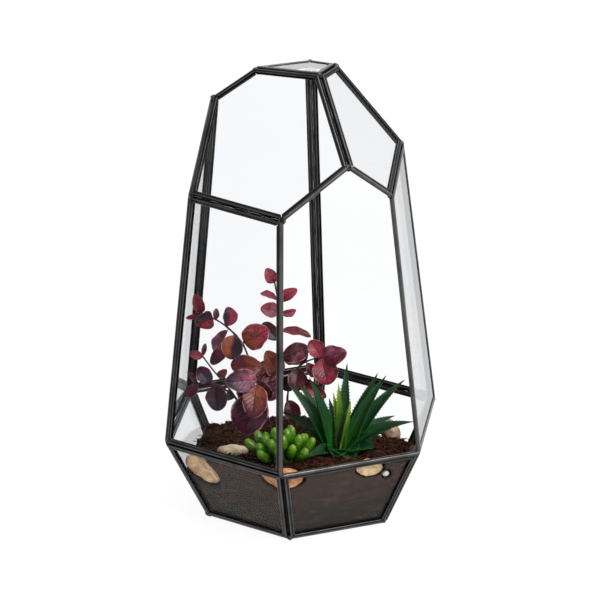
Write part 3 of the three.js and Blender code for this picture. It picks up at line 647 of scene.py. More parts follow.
def joint_tree(look):
    """Lumps of solder on bare points, pressed flat along each point's outward direction."""
    graph, given = new_tree("solder_joints", Radius="Float", Unevenness="Float", Seed="Int")
    ball = graph.add("GeometryNodeMeshIcoSphere", {"Radius": 1.0, "Subdivisions": 4})
    size = graph.add("FunctionNodeRandomValue", {
        0: SMALLEST_JOINT, 1: LARGEST_JOINT, "Seed": given["Seed"],
    }, data_type="FLOAT_VECTOR")
    lumps = graph.add("GeometryNodeInstanceOnPoints", {
        "Points": given["Geometry"], "Instance": ball, "Rotation": graph.facing_out(),
        "Scale": graph.scaled(size, given["Radius"]),
    })
    real = graph.add("GeometryNodeRealizeInstances", {0: lumps})
    return close_tree(graph, graph.shaken(real, 240, 3, given["Unevenness"]), look)


def seam_tree(look):
    """A bead of solder along each edge of a wire mesh."""
    graph, given = new_tree("solder_seams", Radius="Float", Unevenness="Float")
    line = graph.add("GeometryNodeMeshToCurve", {0: given["Geometry"]})
    section = graph.add("GeometryNodeCurvePrimitiveCircle", {"Resolution": 8, "Radius": given["Radius"]})
    bead = graph.add("GeometryNodeCurveToMesh", {"Curve": line, "Profile Curve": section, "Fill Caps": True})
    return close_tree(graph, graph.shaken(bead, 160, 2, given["Unevenness"]), look)


# Soil

# Crumbs and fibres lie this far from the glass, above this height and where the soil faces up this much
SOIL_CLEARANCE = 2.4 * MM
SOIL_TOP = 24 * MM
OPEN_FACING = 0.3
# The soil is lumpy where it faces up this much, and pitted elsewhere
TOP_FACING = 0.35
SOIL_OCTAVES = ((140, 1.0), (330, 0.6))
SOIL_SOFTENING = 2
# Soil is pressed on the glass up to this depth behind a pane, and loses it over the last part of it
PRESSED_DEPTH = 2.6 * MM
PRESSED_FADE = 0.8 * MM
# Heights between which the soil on the glass goes over from its low to its high colour
WALL_HEIGHTS = (8 * MM, 55 * MM)
# Soil sinks away from a pebble that lies nearer than this
STONE_SHADE = 2.4 * MM
# Soil before a pebble, or up to this far above it at the glass, is taken this far behind its face
STONE_COVER = 5 * MM
STONE_BACKING = 2 * MM
# How steeply the soil above a pebble is looked through
COVER_SLOPE = 0.36
# Sizes of crumbs and of half a fibre, how far a fibre leans, and how far both are bent at random
CRUMB_SIZES = (0.35 * MM, 2.8 * MM)
FIBRE_SIZES = (2.4 * MM, 7 * MM)
FIBRE_LEAN = 0.5
SCATTER_JITTER = 0.8 * MM
# The higher, the fewer of the scattered pieces are large
SIZE_BIAS = 2.5


def soil_look(settings):
    """Coir soil: dark and fibrous where it lies open, smeared greyer with faint streaks on the glass."""
    def build(graph):
        place = graph.place()
        patches = graph.noise(place, scale=60, detail=4)
        grain = graph.noise(place, scale=800, detail=3)
        threads = graph.noise(graph.scaled(place, 1, 1, 3.0), scale=230, detail=6, distortion=2.0)
        smears = graph.noise(graph.scaled(place, 1, 1, 2.6), scale=75, detail=5, distortion=1.2)
        specks = graph.noise(place, scale=520, detail=3)
        threaded = threads.stepped(0.58, 0.7) * 0.5
        open_soil = graph.layered(
            settings.dark,
            ((patches * 0.6 + grain * 0.7).stepped(0.5, 0.95), settings.brown),
            (threaded, settings.fibre),
        )
        wall = graph.layered(
            settings.wall_low,
            (graph.parts(place)[2].stepped(*WALL_HEIGHTS), settings.wall_high),
            (smears.stepped(0.48, 0.7) * 0.45, settings.wall_streak),
            (specks.stepped(0.56, 0.74) * 0.4, settings.dark),
            (threaded, settings.wall_streak),
        )
        colour = graph.mixed(graph.attribute("pressed", "Fac"), open_soil, wall)
        return principled(
            graph, colour, 0.85 + patches * 0.12, Specular_IOR_Level=0.1,
            Normal=graph.bump(grain + threads, depth=0.5 * MM, strength=0.6),
        )
    return material("coir_soil", build)


def crumb_look(name, low, high, speck):
    """Loose crumbs or fibres, each a little lighter or darker than the next."""
    def build(graph):
        place = graph.place()
        patches = graph.noise(place, scale=260, detail=3)
        specks = graph.noise(place, scale=900, detail=2)
        grain = graph.noise(place, scale=2400, detail=3)
        colour = graph.layered(
            low, (patches.stepped(0.32, 0.72), high), (specks.stepped(0.6, 0.75) * 0.6, speck)
        )
        return principled(
            graph, colour, 0.8 + patches * 0.15, Specular_IOR_Level=0.12,
            Normal=graph.bump(grain, depth=0.3 * MM, strength=0.6),
        )
    return material(name, build)


def pebble_surfaces():
    """The surface of each pebble, to find what lies near it, and the ways in which it meets the glass."""
    surfaces = []
    for name, (_, _, _, presses) in STONES.items():
        corners, faces = rounded_out(merged("pebble_" + name)[0])
        surfaces.append((BVHTree.FromPolygons(corners, faces), [PANES[wall].normal for wall in presses]))
    return surfaces


def cleared(point, stones):
    """A point of the soil, taken behind any pebble that it would hide."""
    for stone, outs in stones:
        for out in outs:
            inward_down = Vector((-out.x, -out.y, -COVER_SLOPE))
            for line, reach in ((-out, STONE_SHADE), (inward_down, STONE_COVER)):
                place, normal, _, _ = stone.ray_cast(point, line, reach)
                if place is not None and normal.dot(line) < 0:
                    return place - out * STONE_BACKING
    return point


def soil_bed(settings, look):
    """The bed of soil, lumpy on top and pitted where it lies against the glass."""
    points, faces = merged("soil")
    bed = refined(plain_piece("soil_bed", points, faces, look), settings.grain, SOIL_SOFTENING)
    stones = pebble_surfaces()

    def lump(point, normal):
        broad = rough(point, *SOIL_OCTAVES)
        gaps = [stone.find_nearest(point, STONE_SHADE)[3] for stone, _ in stones]
        near = min((gap for gap in gaps if gap is not None), default=STONE_SHADE)
        sunk = settings.stone_gap * (1 - near / STONE_SHADE)
        if normal.z > TOP_FACING and point.z > SOIL_TOP:
            return cleared(point + normal * (settings.lump * broad - sunk), stones)
        return cleared(point - normal * (settings.pit * max(0.0, broad) + sunk), stones)

    reshape(bed, lump)
    walls = [PANES[name] for name in LOWER_PANES]
    depths = [min(wall.behind(vertex.co) for wall in walls) for vertex in bed.data.vertices]
    mark(bed.data, "pressed", np.clip((PRESSED_DEPTH - np.array(depths)) / PRESSED_FADE, 0, 1))
    return bed


def open_ground(bed):
    """The upward faces of the soil that lie clear of the glass, as a mesh to scatter on."""
    walls = [PANES[name] for name in LOWER_PANES]
    faces = []
    for face in bed.data.polygons:
        if face.normal.z > OPEN_FACING and face.center.z > SOIL_TOP:
            if all(wall.behind(face.center) > SOIL_CLEARANCE for wall in walls):
                faces.append(list(face.vertices))
    mesh = bpy.data.meshes.new("open_ground")
    mesh.from_pydata([tuple(vertex.co) for vertex in bed.data.vertices], [], faces)
    return mesh


def scatter_tree(name, look, shape):
    """Copies of a small shape scattered over a surface, turned and sized at random from a fixed seed."""
    numbers = dict.fromkeys(("Density", "Smallest", "Largest", "Lean"), "Float")
    graph, given = new_tree(name, **numbers, Seed="Int")
    points = graph.add("GeometryNodeDistributePointsOnFaces", {
        "Mesh": given["Geometry"], "Density": given["Density"], "Seed": given["Seed"],
    })
    turn = graph.vector(given["Lean"], given["Lean"], math.tau)
    angles = graph.add("FunctionNodeRandomValue", {
        0: graph.scaled(turn, -1.0), 1: turn, "Seed": given["Seed"],
    }, data_type="FLOAT_VECTOR")
    chance = {2: 0.0, 3: 1.0, "Seed": given["Seed"]}
    size = graph.add("FunctionNodeRandomValue", chance, out=1, data_type="FLOAT")
    spread = given["Smallest"] + (given["Largest"] - given["Smallest"]) * size ** SIZE_BIAS
    copies = graph.add("GeometryNodeInstanceOnPoints", {
        "Points": points, "Instance": shape(graph), "Scale": spread,
        "Rotation": graph.add("FunctionNodeEulerToRotation", {0: angles}),
    })
    real = graph.add("GeometryNodeRealizeInstances", {0: copies})
    return close_tree(graph, graph.shaken(real, 1100, 1, SCATTER_JITTER), look)


def crumb(graph):
    """An angular crumb, one unit across its half."""
    ball = graph.add("GeometryNodeMeshIcoSphere", {"Radius": 1.0, "Subdivisions": 1})
    return graph.add("GeometryNodeTransform", {0: ball, "Scale": (1.0, 0.75, 0.6)})


def fibre(graph):
    """A bent coir fibre, one unit long on each side of its middle."""
    line = graph.add("GeometryNodeCurveQuadraticBezier", {
        "Resolution": 6, "Start": (-1, -0.25, 0), "Middle": (0.1, 0.55, 0.35), "End": (1, -0.2, 0.05),
    })
    section = graph.add("GeometryNodeCurvePrimitiveCircle", {"Resolution": 3, "Radius": 0.05})
    return graph.add("GeometryNodeCurveToMesh", {"Curve": line, "Profile Curve": section, "Fill Caps": True})


# Pebbles

# Each pebble's main colour, its stains (whose colour also paints shade round its rim), how strongly it is stained
# and the panes that it presses on
STONES = {
    "beige": (tone(216, 178, 132), tone(138, 98, 62), 0.6, ["lower_front_left"]),
    "pale": (tone(226, 205, 170), tone(142, 112, 80), 0.55, []),
    "tan": (tone(202, 138, 84), tone(142, 76, 38), 0.85, ["lower_front_left", "lower_front_right"]),
    "cream": (tone(216, 186, 140), tone(138, 102, 62), 0.65, ["lower_front_right"]),
    "white": (tone(204, 198, 190), tone(160, 150, 138), 0.3, ["lower_front_right"]),
    "brown": (tone(150, 118, 96), tone(92, 66, 50), 0.6, []),
}
STONE_PALE = (0.9, 0.8, 0.64)
STONE_OCTAVES = ((110, 1.0), (260, 0.5))
# Share of its wear by which a pebble is worn down all over
STONE_LEVEL = 0.3
STONE_SOFTENING = 14


def stone_look(name, base, stain_and_shade, share):
    """A river pebble: cloudy, stained along veins and in its hollows, with pale streaks and fine pits, and
    painted shade darkening it towards its rim.
    """
    pale = tuple((part + white) / 2 for part, white in zip(base, STONE_PALE))

    def build(graph):
        place = graph.place()
        clouds = graph.noise(place, scale=90, detail=6, distortion=1.2)
        folds = graph.noise(place, scale=70, detail=4, distortion=2.0)
        veins = 1 - abs(folds - 0.5).stepped(0.0, 0.06)
        streaks = graph.noise(graph.scaled(place, 1, 1, 3), scale=90, detail=4, distortion=0.8)
        pits = graph.noise(place, scale=900, detail=3)
        # Painted shade: the rim, which lies back from the glass or down in the soil, is darkened so that the
        # pebble looks domed
        soiled = graph.attribute("soiled", "Fac") + (clouds - 0.5) * 0.5
        colour = graph.layered(
            base,
            (clouds.stepped(0.44, 0.64) * share, stain_and_shade),
            (veins * share * 0.6, stain_and_shade),
            (streaks.stepped(0.5, 0.7) * 0.45, pale),
            (pits.stepped(0.62, 0.75) * share * 0.5, stain_and_shade),
            (soiled.stepped(0.6, 1.0) * 0.6, stain_and_shade),
        )
        return principled(
            graph, colour, 0.4 + pits * 0.3, Coat_Weight=0.08, Coat_Roughness=0.35,
            Normal=graph.bump(pits + clouds * 2, depth=0.3 * MM, strength=0.7),
        )
    return material("stone_" + name, build)


def rounded_out(points):
    """The points and faces of the convex solid round the points, without the notch that the channel cuts."""
    solid = bmesh.new()
    for point in points:
        solid.verts.new(point)
    inside = bmesh.ops.convex_hull(solid, input=solid.verts)["geom_interior"]
    bmesh.ops.delete(solid, geom=inside, context="VERTS")
    solid.verts.index_update()
    corners = [vertex.co.copy() for vertex in solid.verts]
    faces = [[vertex.index for vertex in face.verts] for face in solid.faces]
    solid.free()
    return corners, faces


def pebble(name, presses, settings, look):
    """A pebble worn smooth over the form of its CAD solid, domed where it faces the glass."""
    points, _ = merged("pebble_" + name)
    made = plain_piece("stone_" + name, *rounded_out(points), look)
    refined(made, settings.pebble_grain, STONE_SOFTENING)
    middle = Vector(points.mean(0))
    reach = max((Vector(point) - middle).length for point in points)

    def spread(point, out):
        """How far out towards the pebble's rim a point lies, seen along a direction."""
        arm = point - middle
        return (arm - out * arm.dot(out)).length / reach

    def wear(point, normal):
        point = point + normal * settings.pebble_wear * (rough(point, *STONE_OCTAVES) - STONE_LEVEL)
        for wall in presses:
            out = PANES[wall].normal
            facing = max(0.0, normal.dot(out)) ** 2
            point -= out * facing * settings.pebble_dome * spread(point, out) ** 3
        return point

    reshape(made, wear)
    outs = [PANES[wall].normal for wall in presses] or [-UP]
    # How far out towards its rim each point lies, which the material turns into painted shade
    mark(made.data, "soiled", [max(spread(vertex.co, out) for out in outs) for vertex in made.data.vertices])
    return made


# Eucalyptus

PALETTE = {
    "crimson": tone(148, 42, 60),
    "rose": tone(156, 58, 78),
    "pink": tone(168, 92, 116),
    "mauve": tone(128, 66, 84),
    "plum": tone(78, 30, 52),
    "slate": tone(50, 42, 56),
    "maroon": tone(98, 32, 44),
    "wine": tone(68, 16, 26),
    "orange": tone(150, 76, 48),
    "rust": tone(126, 56, 38),
    "brown": tone(88, 42, 30),
}

# The stems and leaves as in the frame: each stem is a list of places, and each leaf gives its stem, how far
# along it grows, its tip's place, its width, its roll and its colours. "a>b" goes from one colour at the
# stalk to the other at the tip, and "a|b" has one on each side of the midrib, where the leaf is folded:
# the darker side is partly its own colour and partly painted shade on the half turned from the light
SPRAYS = {
    "tall": {
        "stems": [
            [(-19, -8, 42), (-18, -5, 70), (-16, -2, 101), (-16, 0, 132), (-16, 0, 158), (-19, -2, 180)],
        ],
        "leaves": [
            (0, 0.99, (-25, -4, 192), 10, 0, "crimson>rose"), (0, 0.86, (-30, 4, 169), 7, 40, "rose>mauve"),
            (0, 0.86, (-2, -4, 175), 9, 0, "crimson>rose"), (0, 0.79, (-30, -8, 161), 12, 0, "mauve>rose"),
            (0, 0.77, (-3, 4, 155), 7, 30, "mauve>rose"), (0, 0.66, (8, -6, 137), 8, -35, "rose>rust"),
            (0, 0.6, (-29, 6, 144), 12, 0, "slate>brown"), (0, 0.5, (6, 6, 124), 15, 0, "wine>maroon"),
            (0, 0.42, (-26, -8, 127), 16, 0, "brown>rust"), (0, 0.4, (-30, -12, 100), 14, 20, "wine>maroon"),
            (0, 0.45, (-36, -2, 107), 16, 0, "wine>maroon"), (0, 0.36, (-32, -10, 92), 15, 0, "wine>maroon"),
        ],
    },
    "upper_left": {
        "stems": [
            [(-28, -10, 43), (-31, -14, 74), (-36, -18, 107), (-43, -20, 136), (-53, -20, 149),
             (-63, -20, 157), (-74, -22, 163)],
        ],
        "leaves": [
            (0, 0.52, (-24, -25, 151), 20, 0, "orange>crimson"),
            (0, 0.62, (-53, -28, 128), 17, 0, "slate|orange"),
            (0, 0.68, (-66, -15, 130), 9, 30, "mauve>pink"), (0, 0.6, (-68, -14, 119), 10, 0, "crimson>plum"),
            (0, 0.7, (-54, -16, 166), 12, 20, "slate|rose"), (0, 0.84, (-63, -19, 166), 5, 0, "plum>mauve"),
            (0, 0.86, (-79, -28, 158), 14, 0, "crimson|slate"),
            (0, 0.99, (-79, -23, 179), 9, 0, "crimson>crimson"),
            (0, 0.97, (-86, -18, 158), 4, 0, "rose>crimson"),
            (0, 0.42, (-26, -26, 118), 12, 30, "maroon>rust"),
        ],
    },
    "left": {
        "stems": [
            [(-37, -18, 45), (-40, -22, 72), (-48, -24, 92), (-56, -24, 105), (-66, -20, 116),
             (-75, -17, 128)],
            [(-52, -24, 98), (-65, -22, 106), (-78, -20, 105)],
        ],
        "leaves": [
            (1, 0.6, (-78, -18, 118), 12, 0, "slate>plum"), (1, 0.5, (-63, -32, 88), 17, 0, "plum>slate"),
            (0, 0.97, (-84, -18, 130), 7, 0, "crimson>rose"), (0, 0.98, (-72, -14, 136), 4, 0, "maroon>plum"),
            (1, 0.97, (-88, -22, 97), 9, 0, "plum>maroon"), (1, 0.98, (-86, -16, 114), 4, 0, "plum>plum"),
            (0, 0.72, (-56, -28, 120), 7, 0, "maroon>rust"), (0, 0.45, (-58, -14, 92), 10, 30, "slate>wine"),
        ],
    },
    "front": {
        "stems": [[(-22, -26, 46), (-24, -27, 73), (-29, -30, 96), (-33, -34, 112), (-27, -33, 124)]],
        "leaves": [
            (0, 0.8, (-57, -46, 117), 18, 0, "pink>slate"), (0, 0.99, (-53, -28, 124), 16, 0, "rust>maroon"),
            (0, 0.74, (-37, -50, 89), 20, 0, "orange>maroon"), (0, 0.68, (-44, -42, 73), 28, 0, "wine>plum"),
            (0, 0.8, (-26, -22, 92), 13, 0, "wine>maroon"), (0, 0.66, (-49, -28, 100), 9, 0, "rust>wine"),
            (0, 0.7, (-47, -34, 97), 13, 0, "rust>wine"),
        ],
    },
    "right": {
        "stems": [[(-10, 6, 40), (-11, 7, 70), (-9, 8, 92), (-1, 8, 108), (9, 4, 115), (17, 0, 118)]],
        "leaves": [
            (0, 0.99, (7, 2, 131), 13, 0, "rose>crimson"), (0, 0.99, (35, -6, 124), 16, 0, "pink|maroon"),
            (0, 0.97, (21, -9, 99), 20, 0, "rose>crimson"), (0, 0.48, (19, 0, 85), 11, 0, "crimson>rose"),
            (0, 0.7, (12, 12, 98), 9, 0, "mauve>maroon"), (0, 0.58, (-4, -2, 91), 15, 0, "wine>maroon"),
            (0, 0.3, (-4, 4, 64), 13, 0, "wine>maroon"), (0, 0.66, (-12, 14, 112), 11, 20, "brown>wine"),
            (0, 0.62, (0, 16, 117), 12, 0, "wine>maroon"), (0, 0.5, (-14, 10, 88), 12, 0, "wine>wine"),
        ],
    },
}

# Share of a leaf's length, and of its width, that its stalk takes up
LEAF_STALK = 0.07
# Share of its width that is left at the tip
LEAF_TIP = 0.012
# Share of its length over which the stalk's thickness fades into the blade
STALK_FADE = 0.12
LEAF_ROUNDNESS = 0.5
# How far a leaf is cupped, creased, waved and rippled against its width, and bent against its length
LEAF_CUP = 0.12
LEAF_CREASE = 0.06
# Leaves with a colour on each side of the midrib are creased more, and their darker side is partly painted shade
TWO_TONE_CREASE = 0.3
LEAF_WAVE = 0.07
LEAF_RIPPLE = 0.06
LEAF_BEND = 0.12
# Radians that the frills, the outline, the waves and the ripples pass through along a leaf
FRILL_TURN, OUTLINE_TURN, WAVE_TURN, RIPPLE_TURN = 17, 6, 9, 15
# Width and depth of the midrib's groove, against half the leaf's width and its thickness
RIB_WIDTH = 0.1
RIB_DEPTH = 0.6
# Beyond this share of the width lies the frilled edge
LEAF_EDGE = 0.9
# Share of the length from which a leaf has a pale rim, which is partly a painted highlight
RIM_START = 0.15
LEAF_FACING = at(0, -0.94, 0.35).normalized()
LEAF_STATIONS = np.concatenate([
    [0, 0.03, 0.07, 0.1], 0.1 + 0.9 * (1 - np.cos(np.linspace(0.2, math.pi, 15))) / 2,
])
LEAF_COLUMNS = np.array([-1, -0.93, -0.78, -0.55, -0.3, -0.12, 0, 0.12, 0.3, 0.55, 0.78, 0.93, 1])
# Cross sections and sides of a stem, its taper, and how far and how long it swells at a leaf
STEM_STATIONS = 60
STEM_SIDES = 9
STEM_TAPER = 0.35
STEM_SWELL = 0.3
SWELL_LENGTH = 0.02


def leaf_tint(colours, along, across):
    """The colour at each point of a leaf, from the two that its list names."""
    # One colour on each side of a folded leaf's midrib: the darker side is partly painted shade on the half
    # turned from the light
    if "|" in colours:
        first, second = colours.split("|")
        share = np.clip(0.5 + across * 2.2 + 0.25 * np.sin(WAVE_TURN * along), 0, 1)
    else:
        first, second = colours.split(">")
        share = np.clip(1.5 * along - 0.45 + 0.35 * np.abs(across), 0, 1)
    share = share[..., None]
    return np.array(PALETTE[first]) * (1 - share) + np.array(PALETTE[second]) * share


def round_leaf(skin, root, tip, width, roll, colours, settings):
    """A round leaf as in the frame, with a thin edge and a sunken midrib."""
    along = tip - root
    length = along.length
    along.normalize()
    side = along.cross(LEAF_FACING).normalized()
    side.rotate(Matrix.Rotation(math.radians(roll), 3, along))
    normal = side.cross(along)
    s, t = np.meshgrid(LEAF_STATIONS, LEAF_COLUMNS, indexing="ij")
    past = np.clip((s - LEAF_STALK) / (1 - LEAF_STALK), 0, 1)
    fullness = np.abs(np.sin(math.pi * past))
    stalk = np.where(s < 0.5, LEAF_STALK, LEAF_TIP)
    half = width / 2 * np.maximum(stalk, fullness ** LEAF_ROUNDNESS)
    frills = np.sin(FRILL_TURN * s + 3 * length / MM) * (np.abs(t) > LEAF_EDGE)
    half *= 1 + settings.leaf_frill * frills
    half *= 1 + settings.leaf_frill * 2 * np.sin(OUTLINE_TURN * s + 2 * t + 2.1 * width / MM)
    crease = TWO_TONE_CREASE if "|" in colours else LEAF_CREASE
    cup = width * (t ** 2 * (LEAF_CUP + LEAF_WAVE * np.sin(WAVE_TURN * s + t)) + crease * np.abs(t))
    cup += width * LEAF_RIPPLE * np.abs(t) ** 3 * np.sin(RIPPLE_TURN * s + 2 * t + width / MM)
    bend = LEAF_BEND * length * (1 - (2 * s - 1) ** 2)
    rib = -settings.leaf_thickness * RIB_DEPTH * np.exp(-((t / RIB_WIDTH) ** 2)) * fullness
    ahead = (s * length)[..., None] * np.array(along)
    aside = (t * half)[..., None] * np.array(side)
    spine = np.array(root) + ahead + aside
    lift = fullness * cup + bend + rib
    stem_share = np.clip(1 - (s - LEAF_STALK) / STALK_FADE, 0, 1)
    thick = settings.leaf_thickness * (0.5 + 0.6 * stem_share) * (1 - np.abs(t) ** 4)
    tint = leaf_tint(colours, s, t)
    rim = np.where(s > RIM_START, 1 - (1 - np.abs(t)) * half / (width / 2), 0)
    spots = np.stack([t, s, rim], -1)
    for face in (1, -1):
        rows = spine + (lift + face * thick)[..., None] * np.array(normal)
        skin.grid(rows, tint, spots, flip=face > 0)


def smooth_route(places):
    """A function of 0 to 1 along a smooth curve through the places, as the stems in the frame have."""
    knots = [Vector(place) for place in places]
    knots = [2 * knots[0] - knots[1], *knots, 2 * knots[-1] - knots[-2]]

    def route(share):
        position = min(max(share, 0), 1) * (len(places) - 1)
        first = min(int(position), len(places) - 2)
        weight = position - first
        a, b, c, d = knots[first:first + 4]
        spans = [math.sqrt((q - p).length) for p, q in ((a, b), (b, c), (c, d))]
        start = (b - a) / spans[0] - (c - a) / (spans[0] + spans[1]) + (c - b) / spans[1]
        end = (c - b) / spans[1] - (d - b) / (spans[1] + spans[2]) + (d - c) / spans[2]
        start, end = start * spans[1], end * spans[1]
        bent = 3 * (c - b) - 2 * start - end
        twisted = 2 * (b - c) + start + end
        return b + start * weight + bent * weight ** 2 + twisted * weight ** 3

    return route


def tube(skin, centres, radii, tint, sides):
    """A round tube along a list of centres, closed at both ends."""
    across = Vector((1, 0, 0))
    rows = []
    last = len(centres) - 1
    for number, (centre, radius) in enumerate(zip(centres, radii)):
        heading = (centres[min(number + 1, last)] - centres[max(number - 1, 0)]).normalized()
        across = (across - heading * across.dot(heading)).normalized()
        other = heading.cross(across)
        turns = [math.tau * side / sides for side in range(sides)]
        rows.append([centre + (across * math.cos(turn) + other * math.sin(turn)) * radius for turn in turns])
    rows = [[centres[0]] * sides, *rows, [centres[-1]] * sides]
    spots = np.zeros((len(rows), sides, 3))
    spots[..., 1] = 0.5
    skin.grid(rows, np.array(tint), spots, wrap=True)


def spray(name, plan, settings, look):
    """One spray: stems that thicken where leaves grow, and its round leaves."""
    skin = Skin()
    routes = [smooth_route([at(*place) for place in stem]) for stem in plan["stems"]]
    for number, route in enumerate(routes):
        nodes = [leaf[1] for leaf in plan["leaves"] if leaf[0] == number]
        shares = np.linspace(0, 1, STEM_STATIONS)
        swell = [sum(math.exp(-((share - node) / SWELL_LENGTH) ** 2) for node in nodes) for share in shares]
        radii = [
            settings.stem_radius * (1 - STEM_TAPER * share) * (1 + STEM_SWELL * min(1, bulge))
            for share, bulge in zip(shares, swell)
        ]
        tint = PALETTE["brown"] if number == 0 else PALETTE["rust"]
        tube(skin, [route(share) for share in shares], radii, tint, STEM_SIDES)
    for stem, share, tip, width, roll, colours in plan["leaves"]:
        round_leaf(skin, routes[stem](share), at(*tip), width * MM, roll, colours, settings)
    return skin.piece("spray_" + name, look)


def leaf_look(settings):
    """A satin burgundy leaf: clouded darker and dustier, with fine slanting veins and a thin pale edge that is
    partly a painted highlight.
    """
    def build(graph):
        place = graph.place()
        across, along, rim = graph.parts(graph.attribute("spot", "Vector"))
        side = abs(across)
        mottle = graph.noise(place, scale=300, detail=5)
        clouds = graph.noise(place, scale=110, detail=4, distortion=0.8)
        waves = abs((along * 24 - side * 8 + clouds * 1.2).sine())
        veins = (1 - waves.stepped(0.0, 0.2)) * (1 - side.stepped(0.7, 0.95))
        rib = 1 - side.stepped(0.01, 0.07)
        colour = graph.layered(
            graph.scaled(graph.attribute("tint", "Color"), 0.2 + mottle * 0.6 + clouds * 0.6),
            (clouds.stepped(0.48, 0.62) * 0.6, settings.shade),
            (mottle.stepped(0.54, 0.72) * 0.18, settings.bloom),
            (veins * 0.4 + rib * 0.35, settings.vein),
            (rim.stepped(0.55, 0.9) * 0.3, settings.shade),
            # The thin pale edge is partly a pale margin and partly a painted highlight
            (rim.stepped(0.9, 0.97) * mottle.stepped(0.38, 0.56) * 0.65, settings.edge),
        )
        return principled(
            graph, colour, 0.32 + mottle * 0.18, Specular_IOR_Level=0.3,
            Normal=graph.bump(mottle * 0.5 - veins * 0.8 - rib + clouds, depth=0.8 * MM, strength=0.9),
        )
    return material("eucalyptus_leaf", build)


# Aloe

ALOE_ROOT = (29, -33, 58)
# The leaves start a little in front of the crown
ALOE_HEART = (29, -41, 57)
ALOE_CROWN_RADIUS = 7 * MM
ALOE_CROWN_LEVELS = [-8 * MM, -3 * MM, 3 * MM]
ALOE_CROWN_SIDES = 20
ALOE_LEAF_FOOT = 5.8 * MM
# Where along a leaf its bow is highest, and how far it is drawn back there
ALOE_BOW_AT = 0.45
ALOE_BOW_BACK = 0.3
# Depth of the keel, height of the edges and of the hollow between them, against half the leaf's width
ALOE_KEEL = 0.35
ALOE_LIP = 0.48
ALOE_HOLLOW = 0.02
# Cross sections of a leaf and points in each
ALOE_STATIONS = 34
ALOE_SECTION = 18
# Where along a leaf its teeth start, the share that they take up, their lean and the size of the smallest
TEETH_START = 0.07
TEETH_SHARE = 0.86
TOOTH_LEAN = 0.55
SMALLEST_TOOTH = 0.35
# Tip's place, width at the base, how far the leaf bows upwards on its way, and its roll, as in the frame
ALOE_LEAVES = [
    ((-11, -32, 111), 14, 0.12, -40), ((-2, -22, 107), 13, 0.08, -30), ((6, -42, 118), 14, 0.1, -40),
    ((35, -14, 118), 14, 0.04, 0), ((58, -20, 112), 14, 0.1, 40), ((64, -38, 117), 15, 0.12, 40),
    ((78, -32, 111), 15, 0.14, 40), ((71, -12, 74), 13, 0.2, 30), ((84, -42, 81), 15, 0.2, 30),
    ((2, -70, 64), 14, 0.2, -20), ((-16, -16, 80), 13, 0.18, -30), ((40, -64, 65), 15, 0.18, 0),
    ((56, -54, 78), 14, 0.2, 20), ((21, -14, 90), 12, 0.08, 0),
]
YOUNG_LEAVES = [
    ((24, -35, 103), 8.5, 0.02, 0), ((28, -34, 110), 8.5, 0.02, 0), ((37, -40, 98), 13, 0.02, 0),
]
# Short broad leaves low in front, which close the rosette's foot
SKIRT_LEAVES = [
    ((37, -66, 60), 22, 0.3, 5), ((24, -64, 62), 18, 0.26, -12), ((54, -60, 68), 20, 0.22, 25),
]
# How sharply the leaves taper
ALOE_POINT = 1.05
YOUNG_POINT = 0.9
SKIRT_POINT = 0.6
# Shares of the length between which a leaf goes from the colour of its foot to that of its body
ALOE_TURNING = (0.05, 0.5)
YOUNG_TURNING = (0.45, 0.9)


class AloeLeaf:
    """The curve, sides and width of one tapering leaf, as in the frame."""

    def __init__(self, root, tip, width, bow, roll, point):
        out = (tip - root) * Vector((1, 1, 0))
        out.normalize()
        length = (tip - root).length
        self.side = UP.cross(out)
        self.side.rotate(Matrix.Rotation(math.radians(roll), 3, (tip - root).normalized()))
        self.root = root
        self.tip = tip
        self.width = width
        self.length = length
        self.point = point
        self.middle = root.lerp(tip, ALOE_BOW_AT) + UP * bow * length - out * bow * length * ALOE_BOW_BACK

    def frame(self, s):
        """The spine's place and heading, the upper side's direction and half the width at a share."""
        spine = self.root * (1 - s) ** 2 + self.middle * 2 * s * (1 - s) + self.tip * s ** 2
        heading = ((self.middle - self.root) * (1 - s) + (self.tip - self.middle) * s).normalized()
        taper = min(1, (0.9 + 0.8 * s) * (1 - s) ** self.point + 0.03)
        return spine, heading, heading.cross(self.side).normalized(), self.width / 2 * taper

    def add_to(self, skin):
        rows, spots = [], []
        for station in range(ALOE_STATIONS + 1):
            s = station / ALOE_STATIONS
            spine, _, normal, half = self.frame(s)
            row, spot = [], []
            for number in range(ALOE_SECTION):
                turn = math.tau * number / ALOE_SECTION
                across = math.cos(turn)
                lip = ALOE_LIP * half * across ** 2
                if math.sin(turn) >= 0:
                    lift = lip + ALOE_HOLLOW * half * (1 - across ** 2)
                else:
                    lift = lip - 2 * ALOE_KEEL * half * max(0, 1 - across ** 2) ** 0.6
                row.append(spine + self.side * across * half + normal * lift)
                spot.append((across, s, 1.0 if math.sin(turn) >= 0 else 0.0))
            rows.append(row)
            spots.append(spot)
        ends = [[row[0].lerp(row[ALOE_SECTION // 2], 0.5)] * ALOE_SECTION for row in (rows[0], rows[-1])]
        skin.grid([ends[0], *rows, ends[1]], spots=[spots[0], *spots, spots[-1]], wrap=True, flip=True)

    def teeth(self, spacing):
        """Where teeth stand along both edges, and which way each points."""
        count = int(self.length * TEETH_SHARE / spacing)
        for number in range(count):
            s = TEETH_START + TEETH_SHARE * number / count
            spine, heading, normal, half = self.frame(s)
            for hand in (-1, 1):
                edge = spine + self.side * hand * half + normal * ALOE_LIP * half
                outward = (self.side * hand + heading * TOOTH_LEAN).normalized()
                yield edge, outward, SMALLEST_TOOTH + (1 - SMALLEST_TOOTH) * (half * 2 / self.width)


